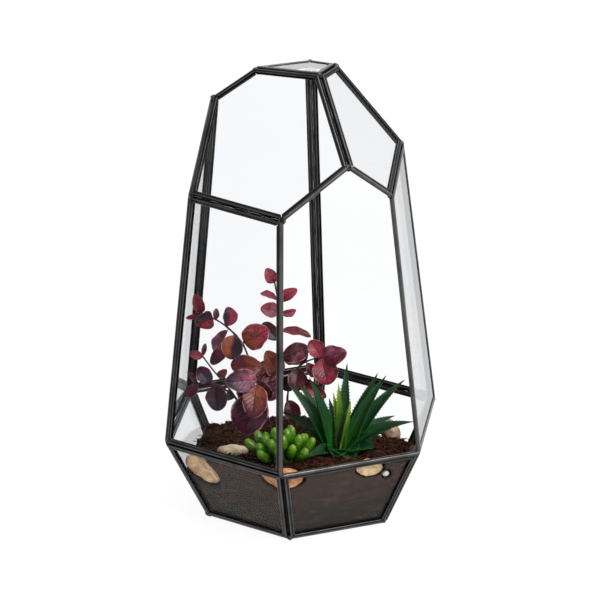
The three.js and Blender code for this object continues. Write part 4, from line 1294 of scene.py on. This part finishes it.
def aloe_leaves(rows, point, foot=ALOE_LEAF_FOOT):
    """The leaves of a list, which start round the heart of the rosette."""
    root = at(*ALOE_HEART)
    leaves = []
    for tip, width, bow, roll in rows:
        end = at(*tip)
        out = ((end - root) * Vector((1, 1, 0))).normalized()
        leaves.append(AloeLeaf(root + out * foot, end, width * MM, bow, roll, point))
    return leaves


def tooth_tree(look):
    """A small cone on each point, leaning along the point's outward direction."""
    graph, given = new_tree("aloe_teeth", Length="Float")
    cone = graph.add("GeometryNodeMeshCone", {
        "Vertices": 6, "Side Segments": 2, "Radius Top": 0.02, "Radius Bottom": 0.42, "Depth": 1.0,
    })
    copies = graph.add("GeometryNodeInstanceOnPoints", {
        "Points": given["Geometry"], "Instance": cone, "Rotation": graph.facing_out(),
        "Scale": graph.named("size", "FLOAT") * given["Length"],
    })
    return close_tree(graph, copies, look)


def aloe_look(name, base, body, point, streak_and_highlight, turning):
    """A fleshy leaf: streaked along its length, the streaks partly a painted highlight, lighter at its edges, and
    dark at the point.
    """
    def build(graph):
        place = graph.place()
        spot = graph.attribute("spot", "Vector")
        across, along, _ = graph.parts(spot)
        streaks = graph.noise(graph.scaled(spot, 9, 1.2, 0), scale=1.6, detail=4)
        mottle = graph.noise(place, scale=240, detail=4)
        freckles = graph.noise(place, scale=700, detail=2)
        colour = graph.layered(
            base,
            (along.stepped(*turning), body),
            # The pale streaks are partly the leaf's own striping and partly a painted highlight
            (streaks.stepped(0.45, 0.72) * 0.5, streak_and_highlight),
            (freckles.stepped(0.66, 0.74) * 0.12, streak_and_highlight),
            (along.stepped(0.84, 0.98) * 0.85, point),
            (abs(across).stepped(0.9, 1.0) * 0.2, streak_and_highlight),
        )
        return principled(
            graph, graph.scaled(colour, 0.5 + mottle * 0.7), 0.24 + mottle * 0.14, Specular_IOR_Level=0.35,
            Normal=graph.bump(streaks + mottle * 0.5, depth=0.8 * MM, strength=0.7),
        )
    return material(name, build)


# Finger-leaved succulent

CLUMP_ROOT = (-15, -67, 64)
CLUMP_HALF = Vector((17, 11.5, 8)) * MM
FINGER_COUNT = 21
# How far the fingers' feet spread over the clump's half size, and rise towards its middle
FINGER_SPREAD = 0.7
FINGER_LIFT = 0.35
FINGER_LEAN = math.radians(54)
FINGER_UNEVENNESS = 2 * MM
FINGER_BOW = 0.06
CROWN_SHARE = 0.95


def finger_tree(look):
    """Plump fingers over a low crown, each a golden angle on from the last, the outer ones leaning out."""
    graph, given = new_tree("succulent_fingers", Length="Float", Radius="Float")
    index = graph.add("GeometryNodeInputIndex")
    out = ((index + 0.3) / FINGER_COUNT) ** 0.5
    turn = index * GOLDEN_ANGLE
    circle = graph.vector(turn.cosine() * out, turn.sine() * out, 0.0)
    rise = graph.vector(0.0, 0.0, (1 - out) * CLUMP_HALF.z * FINGER_LIFT)
    place = graph.added(graph.scaled(circle, *(CLUMP_HALF * FINGER_SPREAD)), rise)
    line = graph.add("GeometryNodeMeshLine", {"Count": FINGER_COUNT, "Offset": (0, 0, 0)})
    points = graph.add("GeometryNodeSetPosition", {0: line, "Position": place})

    ball = graph.add("GeometryNodeMeshUVSphere", {"Segments": 22, "Rings": 18, "Radius": 1.0})
    spot = graph.add("GeometryNodeInputPosition")
    height = graph.parts(spot)[2]
    along = height * 0.5 + 0.5
    tag = {0: ball, "Name": "along", "Value": along}
    tagged = graph.add("GeometryNodeStoreNamedAttribute", tag, data_type="FLOAT")
    girth = (1 - 0.05 * height + 0.35 * height ** 2) * given["Radius"]
    section = graph.scaled(graph.scaled(spot, 1, 1, 0), girth)
    bow = graph.vector((1 - height ** 2) * FINGER_BOW * given["Length"], 0.0, along * given["Length"])
    shaped = graph.add("GeometryNodeSetPosition", {0: tagged, "Position": graph.added(section, bow)})

    lean = graph.vector(0.0, out * FINGER_LEAN, turn)
    stretch = (index * 3).sine() * FINGER_UNEVENNESS / given["Length"] + 1
    copies = graph.add("GeometryNodeInstanceOnPoints", {
        "Points": points, "Instance": shaped,
        "Rotation": graph.add("FunctionNodeEulerToRotation", {0: lean}),
        "Scale": graph.vector(1.0, 1.0, stretch),
    })
    crown = graph.add("GeometryNodeMeshUVSphere", {"Segments": 24, "Rings": 12, "Radius": 1.0})
    flattened = graph.add("GeometryNodeTransform", {0: crown, "Scale": tuple(CLUMP_HALF * CROWN_SHARE)})
    whole = graph.add("GeometryNodeJoinGeometry", {0: [copies, flattened]})
    placed = graph.add("GeometryNodeTransform", {
        0: whole, "Translation": tuple(at(*CLUMP_ROOT)), "Rotation": (0, 0, PLANTING_TURN),
    })
    return close_tree(graph, placed, look)


def finger_look(settings):
    """Glossy plump fingers: deep green at the foot, bright above, freckled and yellower at the tip, where the
    lighter colour is partly a painted highlight.
    """
    def build(graph):
        place = graph.place()
        along = graph.attribute("along", "Fac")
        windows = graph.noise(place, scale=620, detail=2).stepped(0.56, 0.68)
        mottle = graph.noise(place, scale=200, detail=4)
        dimples = graph.noise(place, scale=420, detail=3)
        colour = graph.layered(
            settings.finger_foot,
            (along.stepped(0.2, 0.95), settings.finger_body),
            # The paler tip is partly the finger's own colour and partly a painted highlight
            (along.stepped(0.8, 1.0) * 0.3, settings.finger_tip_and_highlight),
            (windows * (0.25 + along.stepped(0.4, 0.9) * 0.4), settings.finger_tip_and_highlight),
        )
        return principled(
            graph, graph.scaled(colour, 0.5 + mottle * 0.65), 0.28 + mottle * 0.14, Specular_IOR_Level=0.35,
            Coat_Weight=0.08, Coat_Roughness=0.25,
            Normal=graph.bump(dimples, depth=0.3 * MM, strength=0.4),
        )
    return material("succulent_finger", build)


# Stage

# Each lamp's place, power in watts and size
LAMPS = {
    "key": ((0.6, -2.3, 1.9), 80, 0.9), "fill": ((1.9, -0.9, 1.3), 16, 1.2),
    "back": ((0.85, 2.1, 1.2), 8.5, 1.4), "top": ((0.3, 0.9, 2.6), 22, 1.0),
}
WHITE = (1, 1, 1)
FLOOR_SIDES = 64
# Width of the camera's film in millimetres, and how far it sees in metres
FILM_WIDTH = 36
SIGHT = 100


# Settings that a user would change


def number_setting(label, text, value, **more):
    return FloatProperty(name=label, description=text, default=value, min=0.0, **more)


def length_setting(label, text, value):
    return number_setting(label, text, value, subtype="DISTANCE", unit="LENGTH")


def angle_setting(label, text, degrees):
    turn = math.radians(degrees)
    return FloatProperty(name=label, description=text, default=turn, subtype="ANGLE", unit="ROTATION")


def colour_setting(label, text, value):
    return FloatVectorProperty(name=label, description=text, default=value, min=0, max=1, subtype="COLOR")


class StageSettings(bpy.types.PropertyGroup):
    """Camera, light and floor."""

    target_height: length_setting("Target height", "Height of the point that the camera looks at", 0.16465)
    distance: length_setting("Distance", "From the camera to its target", 3.24)
    azimuth: angle_setting("Azimuth", "Turn of the camera round the object", -22.1289)
    elevation: angle_setting("Elevation", "How far the camera looks down", 20.3506)
    roll: angle_setting("Roll", "Turn of the camera about its line of sight", -0.7804)
    lens: number_setting("Lens", "Focal length in millimetres", 257.06, subtype="DISTANCE_CAMERA")
    sky: number_setting("Sky", "Strength of the even light from all sides", 0.5)
    floor: colour_setting("Floor", "Colour of the floor", (0.035, 0.035, 0.035))
    glow: number_setting("Glow", "Light of the floor's own, which evens it out", 0.94)
    floor_radius: length_setting("Floor radius", "How far the floor reaches", 12.0)


class CasingSettings(bpy.types.PropertyGroup):
    """Channel, solder and glass."""

    fold_radius: length_setting("Fold radius", "Outer radius of the channel's folds", 0.6 * MM)
    unevenness: length_setting("Unevenness", "How far the channel strays from true", 0.05 * MM)
    step: length_setting("Step", "Distance between the channel's cross sections", 6 * MM)
    mitre_gap: length_setting("Mitre gap", "How far a strip of channel stops short of its mitre", 0.42 * MM)
    joint_radius: length_setting("Joint radius", "Size of the solder at each corner", 2.9 * MM)
    joint_lift: length_setting("Joint lift", "How far out the solder lies at each corner", 1.3 * MM)
    joint_lumps: length_setting("Joint lumps", "Unevenness of the solder at each corner", 2.2 * MM)
    seam_radius: length_setting("Seam radius", "Radius of the solder in the grooves", 0.5 * MM)
    seam_lift: length_setting("Seam lift", "How far out the solder lies in the grooves", 0.35 * MM)
    dark: colour_setting("Dark", "Darkest patina", (0.006, 0.006, 0.007))
    pale: colour_setting("Pale", "Palest patina", (0.013, 0.0125, 0.012))
    # Pale metal on the folds, which is partly wear and partly a painted highlight
    rubbed_and_highlight: colour_setting("Rubbed", "Metal that shows on the folds", (0.18, 0.175, 0.17))
    solder: colour_setting("Solder", "Bare solder", (0.15, 0.125, 0.105))
    tint: colour_setting("Tint", "Light that a face of the glass lets through", (0.975, 0.977, 0.98))
    slant_tint: colour_setting("Slant tint", "Light that a face lets through at a slant", (0.85, 0.86, 0.87))
    mirrored: colour_setting("Mirrored", "Light that a face of the glass mirrors", (0.8, 0.81, 0.82))


class GroundSettings(bpy.types.PropertyGroup):
    """Soil and pebbles."""

    grain: length_setting("Grain", "Size of the bed's facets", 1.3 * MM)
    lump: length_setting("Lumps", "Height of the lumps on top of the soil", 1.8 * MM)
    pit: length_setting("Pits", "Depth of the pits behind the glass", 0.9 * MM)
    crumb_density: number_setting("Crumbs", "Crumbs on each square metre", 210000)
    fibre_density: number_setting("Fibres", "Fibres on each square metre", 80000)
    seed: IntProperty(name="Seed", description="Seed of the scattering", default=7)
    stone_gap: length_setting("Stone gap", "How far the soil sinks beside a pebble", 1 * MM)
    pebble_grain: length_setting("Pebble grain", "Size of a pebble's facets", 0.8 * MM)
    pebble_wear: length_setting("Pebble wear", "Depth of a pebble's hollows", 0.8 * MM)
    pebble_dome: length_setting("Pebble dome", "How far a pebble's rim lies behind the glass", 1.5 * MM)
    dark: colour_setting("Dark", "Darkest crumbs", tone(19, 11, 8))
    brown: colour_setting("Brown", "Brown crumbs", tone(54, 31, 21))
    fibre: colour_setting("Fibre", "Pale fibres", tone(102, 61, 42))
    wall_high: colour_setting("Wall high", "Soil on the glass near the rim", tone(68, 57, 53))
    wall_low: colour_setting("Wall low", "Soil on the glass near the base", tone(52, 51, 49))
    wall_streak: colour_setting("Wall streak", "Streaks in the soil on the glass", tone(92, 74, 68))


class PlantSettings(bpy.types.PropertyGroup):
    """Eucalyptus, aloe and succulent."""

    leaf_thickness: length_setting("Leaf thickness", "Half the thickness of a eucalyptus leaf", 0.35 * MM)
    leaf_frill: number_setting("Frill", "Unevenness of a leaf's outline", 0.02)
    stem_radius: length_setting("Stem radius", "Radius of a stem at its foot", 0.85 * MM)
    tooth_length: length_setting("Tooth length", "Length of an aloe's longest teeth", 1.6 * MM)
    tooth_spacing: length_setting("Tooth spacing", "Distance between an aloe's teeth", 2.4 * MM)
    finger_length: length_setting("Finger length", "Length of a succulent's finger", 20.5 * MM)
    finger_radius: length_setting("Finger radius", "Radius of a succulent's finger", 3.7 * MM)
    vein: colour_setting("Vein", "Veins of a eucalyptus leaf", tone(58, 16, 26))
    # Partly the leaf's pale margin, partly a painted highlight along it
    edge: colour_setting("Edge", "Edge of a eucalyptus leaf", tone(206, 146, 146))
    bloom: colour_setting("Bloom", "Dusty bloom on a eucalyptus leaf", tone(136, 86, 106))
    shade: colour_setting("Shade", "Dark patches on a eucalyptus leaf", tone(36, 16, 26))
    aloe_foot: colour_setting("Aloe foot", "Aloe leaf near its foot", tone(30, 92, 24))
    aloe_body: colour_setting("Aloe body", "Aloe leaf along its length", tone(12, 54, 26))
    aloe_point: colour_setting("Aloe point", "Aloe leaf at its point", tone(26, 34, 24))
    # Partly the leaf's own striping, partly a painted highlight
    aloe_streak_and_highlight: colour_setting("Aloe streak", "Streaks on an aloe leaf", tone(64, 120, 66))
    young_foot: colour_setting("Young foot", "Young leaf near its foot", tone(18, 66, 24))
    young_body: colour_setting("Young body", "Young leaf along its length", tone(104, 142, 18))
    young_point: colour_setting("Young point", "Young leaf at its point", tone(150, 178, 50))
    finger_foot: colour_setting("Finger foot", "Succulent finger at its foot", tone(12, 54, 8))
    finger_body: colour_setting("Finger body", "Succulent finger along its length", tone(62, 114, 12))
    # Partly the tip's own colour, partly a painted highlight
    finger_tip_and_highlight: colour_setting("Finger tip", "Succulent finger at its tip", tone(142, 168, 40))


# Operators


class TERRARIUM_OT_stage(bpy.types.Operator):
    """Sets up the pale floor, the soft light and the camera"""

    bl_idname = "terrarium.stage"
    bl_label = "Set the Stage"

    def execute(self, context):
        settings = context.scene.terrarium_stage
        self.add_floor(settings)
        self.add_light(context, settings)
        self.add_camera(context, settings)
        return {"FINISHED"}

    def add_floor(self, settings):
        def build(graph):
            haze = graph.noise(graph.place(), scale=3, detail=2)
            return principled(
                graph, graph.mixed(haze * 0.05, settings.floor, WHITE), 0.8,
                Specular_IOR_Level=0.1, Emission_Color=WHITE, Emission_Strength=settings.glow,
            )
        reach = settings.floor_radius
        turns = [math.tau * side / FLOOR_SIDES for side in range(FLOOR_SIDES)]
        rim = [(reach * math.cos(turn), reach * math.sin(turn), 0) for turn in turns]
        plain_piece("floor", rim, [list(range(FLOOR_SIDES))], material("pale_floor", build))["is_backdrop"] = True

    def add_light(self, context, settings):
        world = bpy.data.worlds.new("even_sky")
        world.use_nodes = True
        world.node_tree.nodes.clear()
        graph = Graph(world.node_tree)
        sky = graph.add("ShaderNodeBackground", {"Color": WHITE, "Strength": settings.sky})
        graph.add("ShaderNodeOutputWorld", {"Surface": sky})
        context.scene.world = world
        context.scene.view_settings.view_transform = "Standard"
        for name, (place, power, size) in LAMPS.items():
            lamp = bpy.data.lights.new(name, "AREA")
            lamp.energy = power
            lamp.size = size
            made = bpy.data.objects.new(name, lamp)
            made.location = place
            made.visible_camera = False
            aim = Vector((0, 0, settings.target_height)) - made.location
            made.rotation_euler = aim.to_track_quat("-Z", "Y").to_euler()
            context.scene.collection.objects.link(made)

    def add_camera(self, context, settings):
        level = math.cos(settings.elevation)
        aside, ahead = math.sin(settings.azimuth) * level, math.cos(settings.azimuth) * level
        back = Vector((aside, -ahead, math.sin(settings.elevation)))
        right = UP.cross(back).normalized()
        up = back.cross(right)
        right, up = (
            right * math.cos(settings.roll) + up * math.sin(settings.roll),
            up * math.cos(settings.roll) - right * math.sin(settings.roll),
        )
        data = bpy.data.cameras.new("camera")
        data.lens = settings.lens
        data.sensor_width = FILM_WIDTH
        data.clip_end = SIGHT
        camera = bpy.data.objects.new("camera", data)
        turn = Matrix((right, up, back)).transposed().to_4x4()
        place = UP * settings.target_height + back * settings.distance
        camera.matrix_world = Matrix.Translation(place) @ turn
        context.scene.collection.objects.link(camera)
        context.scene.camera = camera


class TERRARIUM_OT_glass(bpy.types.Operator):
    """Gives every pane its clear glass"""

    bl_idname = "terrarium.glass"
    bl_label = "Glaze the Panes"

    def execute(self, context):
        look = clear_glass(context.scene.terrarium_casing)
        for name in PANES:
            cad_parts["pane_" + name].material_slots[0].material = look
        return {"FINISHED"}


class TERRARIUM_OT_channel(bpy.types.Operator):
    """Folds a ring of black channel round every pane"""

    bl_idname = "terrarium.channel"
    bl_label = "Fold the Channel"

    def execute(self, context):
        settings = context.scene.terrarium_casing
        look = channel_metal(settings)
        # Without a seed of its own, noise_vector takes one from the clock
        noise.seed_set(CHANNEL_SEED)
        for name, pane in PANES.items():
            settle(channel_ring(pane, settings, look), "frame_metal", "frame_" + name)
        return {"FINISHED"}


class TERRARIUM_OT_solder(bpy.types.Operator):
    """Runs solder into the grooves and the corners of the casing"""

    bl_idname = "terrarium.solder"
    bl_label = "Solder the Joints"

    def execute(self, context):
        settings = context.scene.terrarium_casing
        corners = casing_corners()
        carrier = points_mesh(
            "joints",
            [corner + outward * settings.joint_lift for corner, outward in corners],
            outward=[tuple(outward) for _, outward in corners],
        )
        joints = grown(
            "solder_joints", joint_tree(solder_metal("solder_joint", settings, JOINT_BARE)), carrier,
            Radius=settings.joint_radius, Unevenness=settings.joint_lumps, Seed=3,
        )
        settle(joints, "frame_metal")
        points, wires = [], []
        for start, end, outward in casing_edges():
            count = max(2, round((end - start).length / settings.step))
            wires += [(len(points) + step, len(points) + step + 1) for step in range(count)]
            lift = outward * settings.seam_lift
            points += [start.lerp(end, step / count) + lift for step in range(count + 1)]
        seams = grown(
            "solder_seams", seam_tree(solder_metal("solder_seam", settings, SEAM_BARE)),
            points_mesh("seams", points, wires), Radius=settings.seam_radius, Unevenness=SEAM_LUMPS,
        )
        settle(seams, "frame_metal")
        return {"FINISHED"}


class TERRARIUM_OT_soil(bpy.types.Operator):
    """Fills the base with lumpy soil, loose crumbs and fibres"""

    bl_idname = "terrarium.soil"
    bl_label = "Fill the Soil"

    def execute(self, context):
        settings = context.scene.terrarium_ground
        bed = soil_bed(settings, soil_look(settings))
        ground = open_ground(bed)
        settle(bed, "soil", "soil")
        dark, brown, pale = settings.dark, settings.brown, settings.fibre
        rows = (
            ("crumbs", crumb, dark, brown, settings.crumb_density, CRUMB_SIZES, math.pi),
            ("fibres", fibre, brown, pale, settings.fibre_density, FIBRE_SIZES, FIBRE_LEAN),
        )
        for number, (name, shape, low, high, density, (smallest, largest), lean) in enumerate(rows):
            tree = scatter_tree(name, crumb_look("coir_" + name, low, high, pale), shape)
            made = grown(
                "soil_" + name, tree, ground.copy(), Density=density,
                Smallest=smallest, Largest=largest, Lean=lean, Seed=settings.seed + number,
            )
            settle(made, "soil")
        return {"FINISHED"}


class TERRARIUM_OT_pebbles(bpy.types.Operator):
    """Lays the worn pebbles"""

    bl_idname = "terrarium.pebbles"
    bl_label = "Lay the Pebbles"

    def execute(self, context):
        settings = context.scene.terrarium_ground
        for name, (base, stain_and_shade, share, presses) in STONES.items():
            made = pebble(name, presses, settings, stone_look(name, base, stain_and_shade, share))
            settle(made, "stone_" + name, "pebble_" + name)
        return {"FINISHED"}


class TERRARIUM_OT_eucalyptus(bpy.types.Operator):
    """Grows the burgundy eucalyptus sprays"""

    bl_idname = "terrarium.eucalyptus"
    bl_label = "Grow the Eucalyptus"

    def execute(self, context):
        settings = context.scene.terrarium_plants
        look = leaf_look(settings)
        for name, plan in SPRAYS.items():
            settle(spray(name, plan, settings, look), "eucalyptus_leaf", "eucalyptus_" + name)
        return {"FINISHED"}


class TERRARIUM_OT_aloe(bpy.types.Operator):
    """Grows the toothed aloe and its young leaves"""

    bl_idname = "terrarium.aloe"
    bl_label = "Grow the Aloe"

    def execute(self, context):
        settings = context.scene.terrarium_plants
        green = aloe_look(
            "aloe_leaf", settings.aloe_foot, settings.aloe_body, settings.aloe_point, settings.aloe_streak_and_highlight,
            turning=ALOE_TURNING,
        )
        young = aloe_look(
            "aloe_young_leaf", settings.young_foot, settings.young_body, settings.young_point,
            settings.young_point, turning=YOUNG_TURNING,
        )
        crown = [at(*ALOE_ROOT) + UP * level for level in ALOE_CROWN_LEVELS]
        old_leaves = aloe_leaves(ALOE_LEAVES, ALOE_POINT) + aloe_leaves(SKIRT_LEAVES, SKIRT_POINT)
        young_leaves = aloe_leaves(YOUNG_LEAVES, YOUNG_POINT, 0)
        for name, leaves, look, slot, node in (
            ("aloe_leaves", old_leaves, green, "aloe_leaf", "aloe_rosette"),
            ("aloe_young", young_leaves, young, "aloe_young_leaf", "aloe_young_leaves"),
        ):
            skin = Skin()
            for leaf in leaves:
                leaf.add_to(skin)
            if node == "aloe_rosette":
                tube(skin, crown, [ALOE_CROWN_RADIUS] * len(crown), (0, 0, 0), ALOE_CROWN_SIDES)
            settle(skin.piece(name, look), slot, node)
            rows = [tooth for leaf in leaves for tooth in leaf.teeth(settings.tooth_spacing)]
            carrier = points_mesh(
                name + "_edge", [row[0] for row in rows],
                outward=[tuple(row[1]) for row in rows], size=[row[2] for row in rows],
            )
            teeth = grown(name + "_teeth", tooth_tree(look), carrier, Length=settings.tooth_length)
            settle(teeth, slot)
        return {"FINISHED"}


class TERRARIUM_OT_succulent(bpy.types.Operator):
    """Grows the clump of plump fingers"""

    bl_idname = "terrarium.succulent"
    bl_label = "Grow the Succulent"

    def execute(self, context):
        settings = context.scene.terrarium_plants
        carrier = points_mesh("clump", [(0, 0, 0)])
        made = grown(
            "succulent_fingers", finger_tree(finger_look(settings)), carrier,
            Length=settings.finger_length, Radius=settings.finger_radius,
        )
        settle(made, "succulent_leaf", "finger_succulent")
        return {"FINISHED"}


OPERATORS = [
    TERRARIUM_OT_stage,
    TERRARIUM_OT_glass,
    TERRARIUM_OT_channel,
    TERRARIUM_OT_solder,
    TERRARIUM_OT_soil,
    TERRARIUM_OT_pebbles,
    TERRARIUM_OT_eucalyptus,
    TERRARIUM_OT_aloe,
    TERRARIUM_OT_succulent,
]
SETTINGS = {
    "terrarium_stage": StageSettings,
    "terrarium_casing": CasingSettings,
    "terrarium_ground": GroundSettings,
    "terrarium_plants": PlantSettings,
}


class TERRARIUM_PT_pieces(bpy.types.Panel):
    """The terrarium's pieces in the order in which they are made."""

    bl_idname = "TERRARIUM_PT_pieces"
    bl_label = "Glass Terrarium"
    bl_space_type = "VIEW_3D"
    bl_region_type = "UI"
    bl_category = "Terrarium"

    def draw(self, context):
        for operator in OPERATORS:
            self.layout.operator(operator.bl_idname)


def register():
    for kind in (*SETTINGS.values(), *OPERATORS, TERRARIUM_PT_pieces):
        bpy.utils.register_class(kind)
    for name, kind in SETTINGS.items():
        setattr(bpy.types.Scene, name, PointerProperty(type=kind))


def unregister():
    for name in SETTINGS:
        delattr(bpy.types.Scene, name)
    for kind in (TERRARIUM_PT_pieces, *reversed(OPERATORS), *SETTINGS.values()):
        bpy.utils.unregister_class(kind)


def main():
    """Makes every piece."""
    register()
    bpy.ops.terrarium.stage()
    bpy.ops.terrarium.glass()
    bpy.ops.terrarium.channel()
    bpy.ops.terrarium.solder()
    bpy.ops.terrarium.soil()
    bpy.ops.terrarium.pebbles()
    bpy.ops.terrarium.eucalyptus()
    bpy.ops.terrarium.aloe()
    bpy.ops.terrarium.succulent()
    sizes = {"cad": CAD_BOX, "visual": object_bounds()}
    {name: [list(corner) for corner in box] for name, box in sizes.items()}


if __name__ == "__main__":
    main()
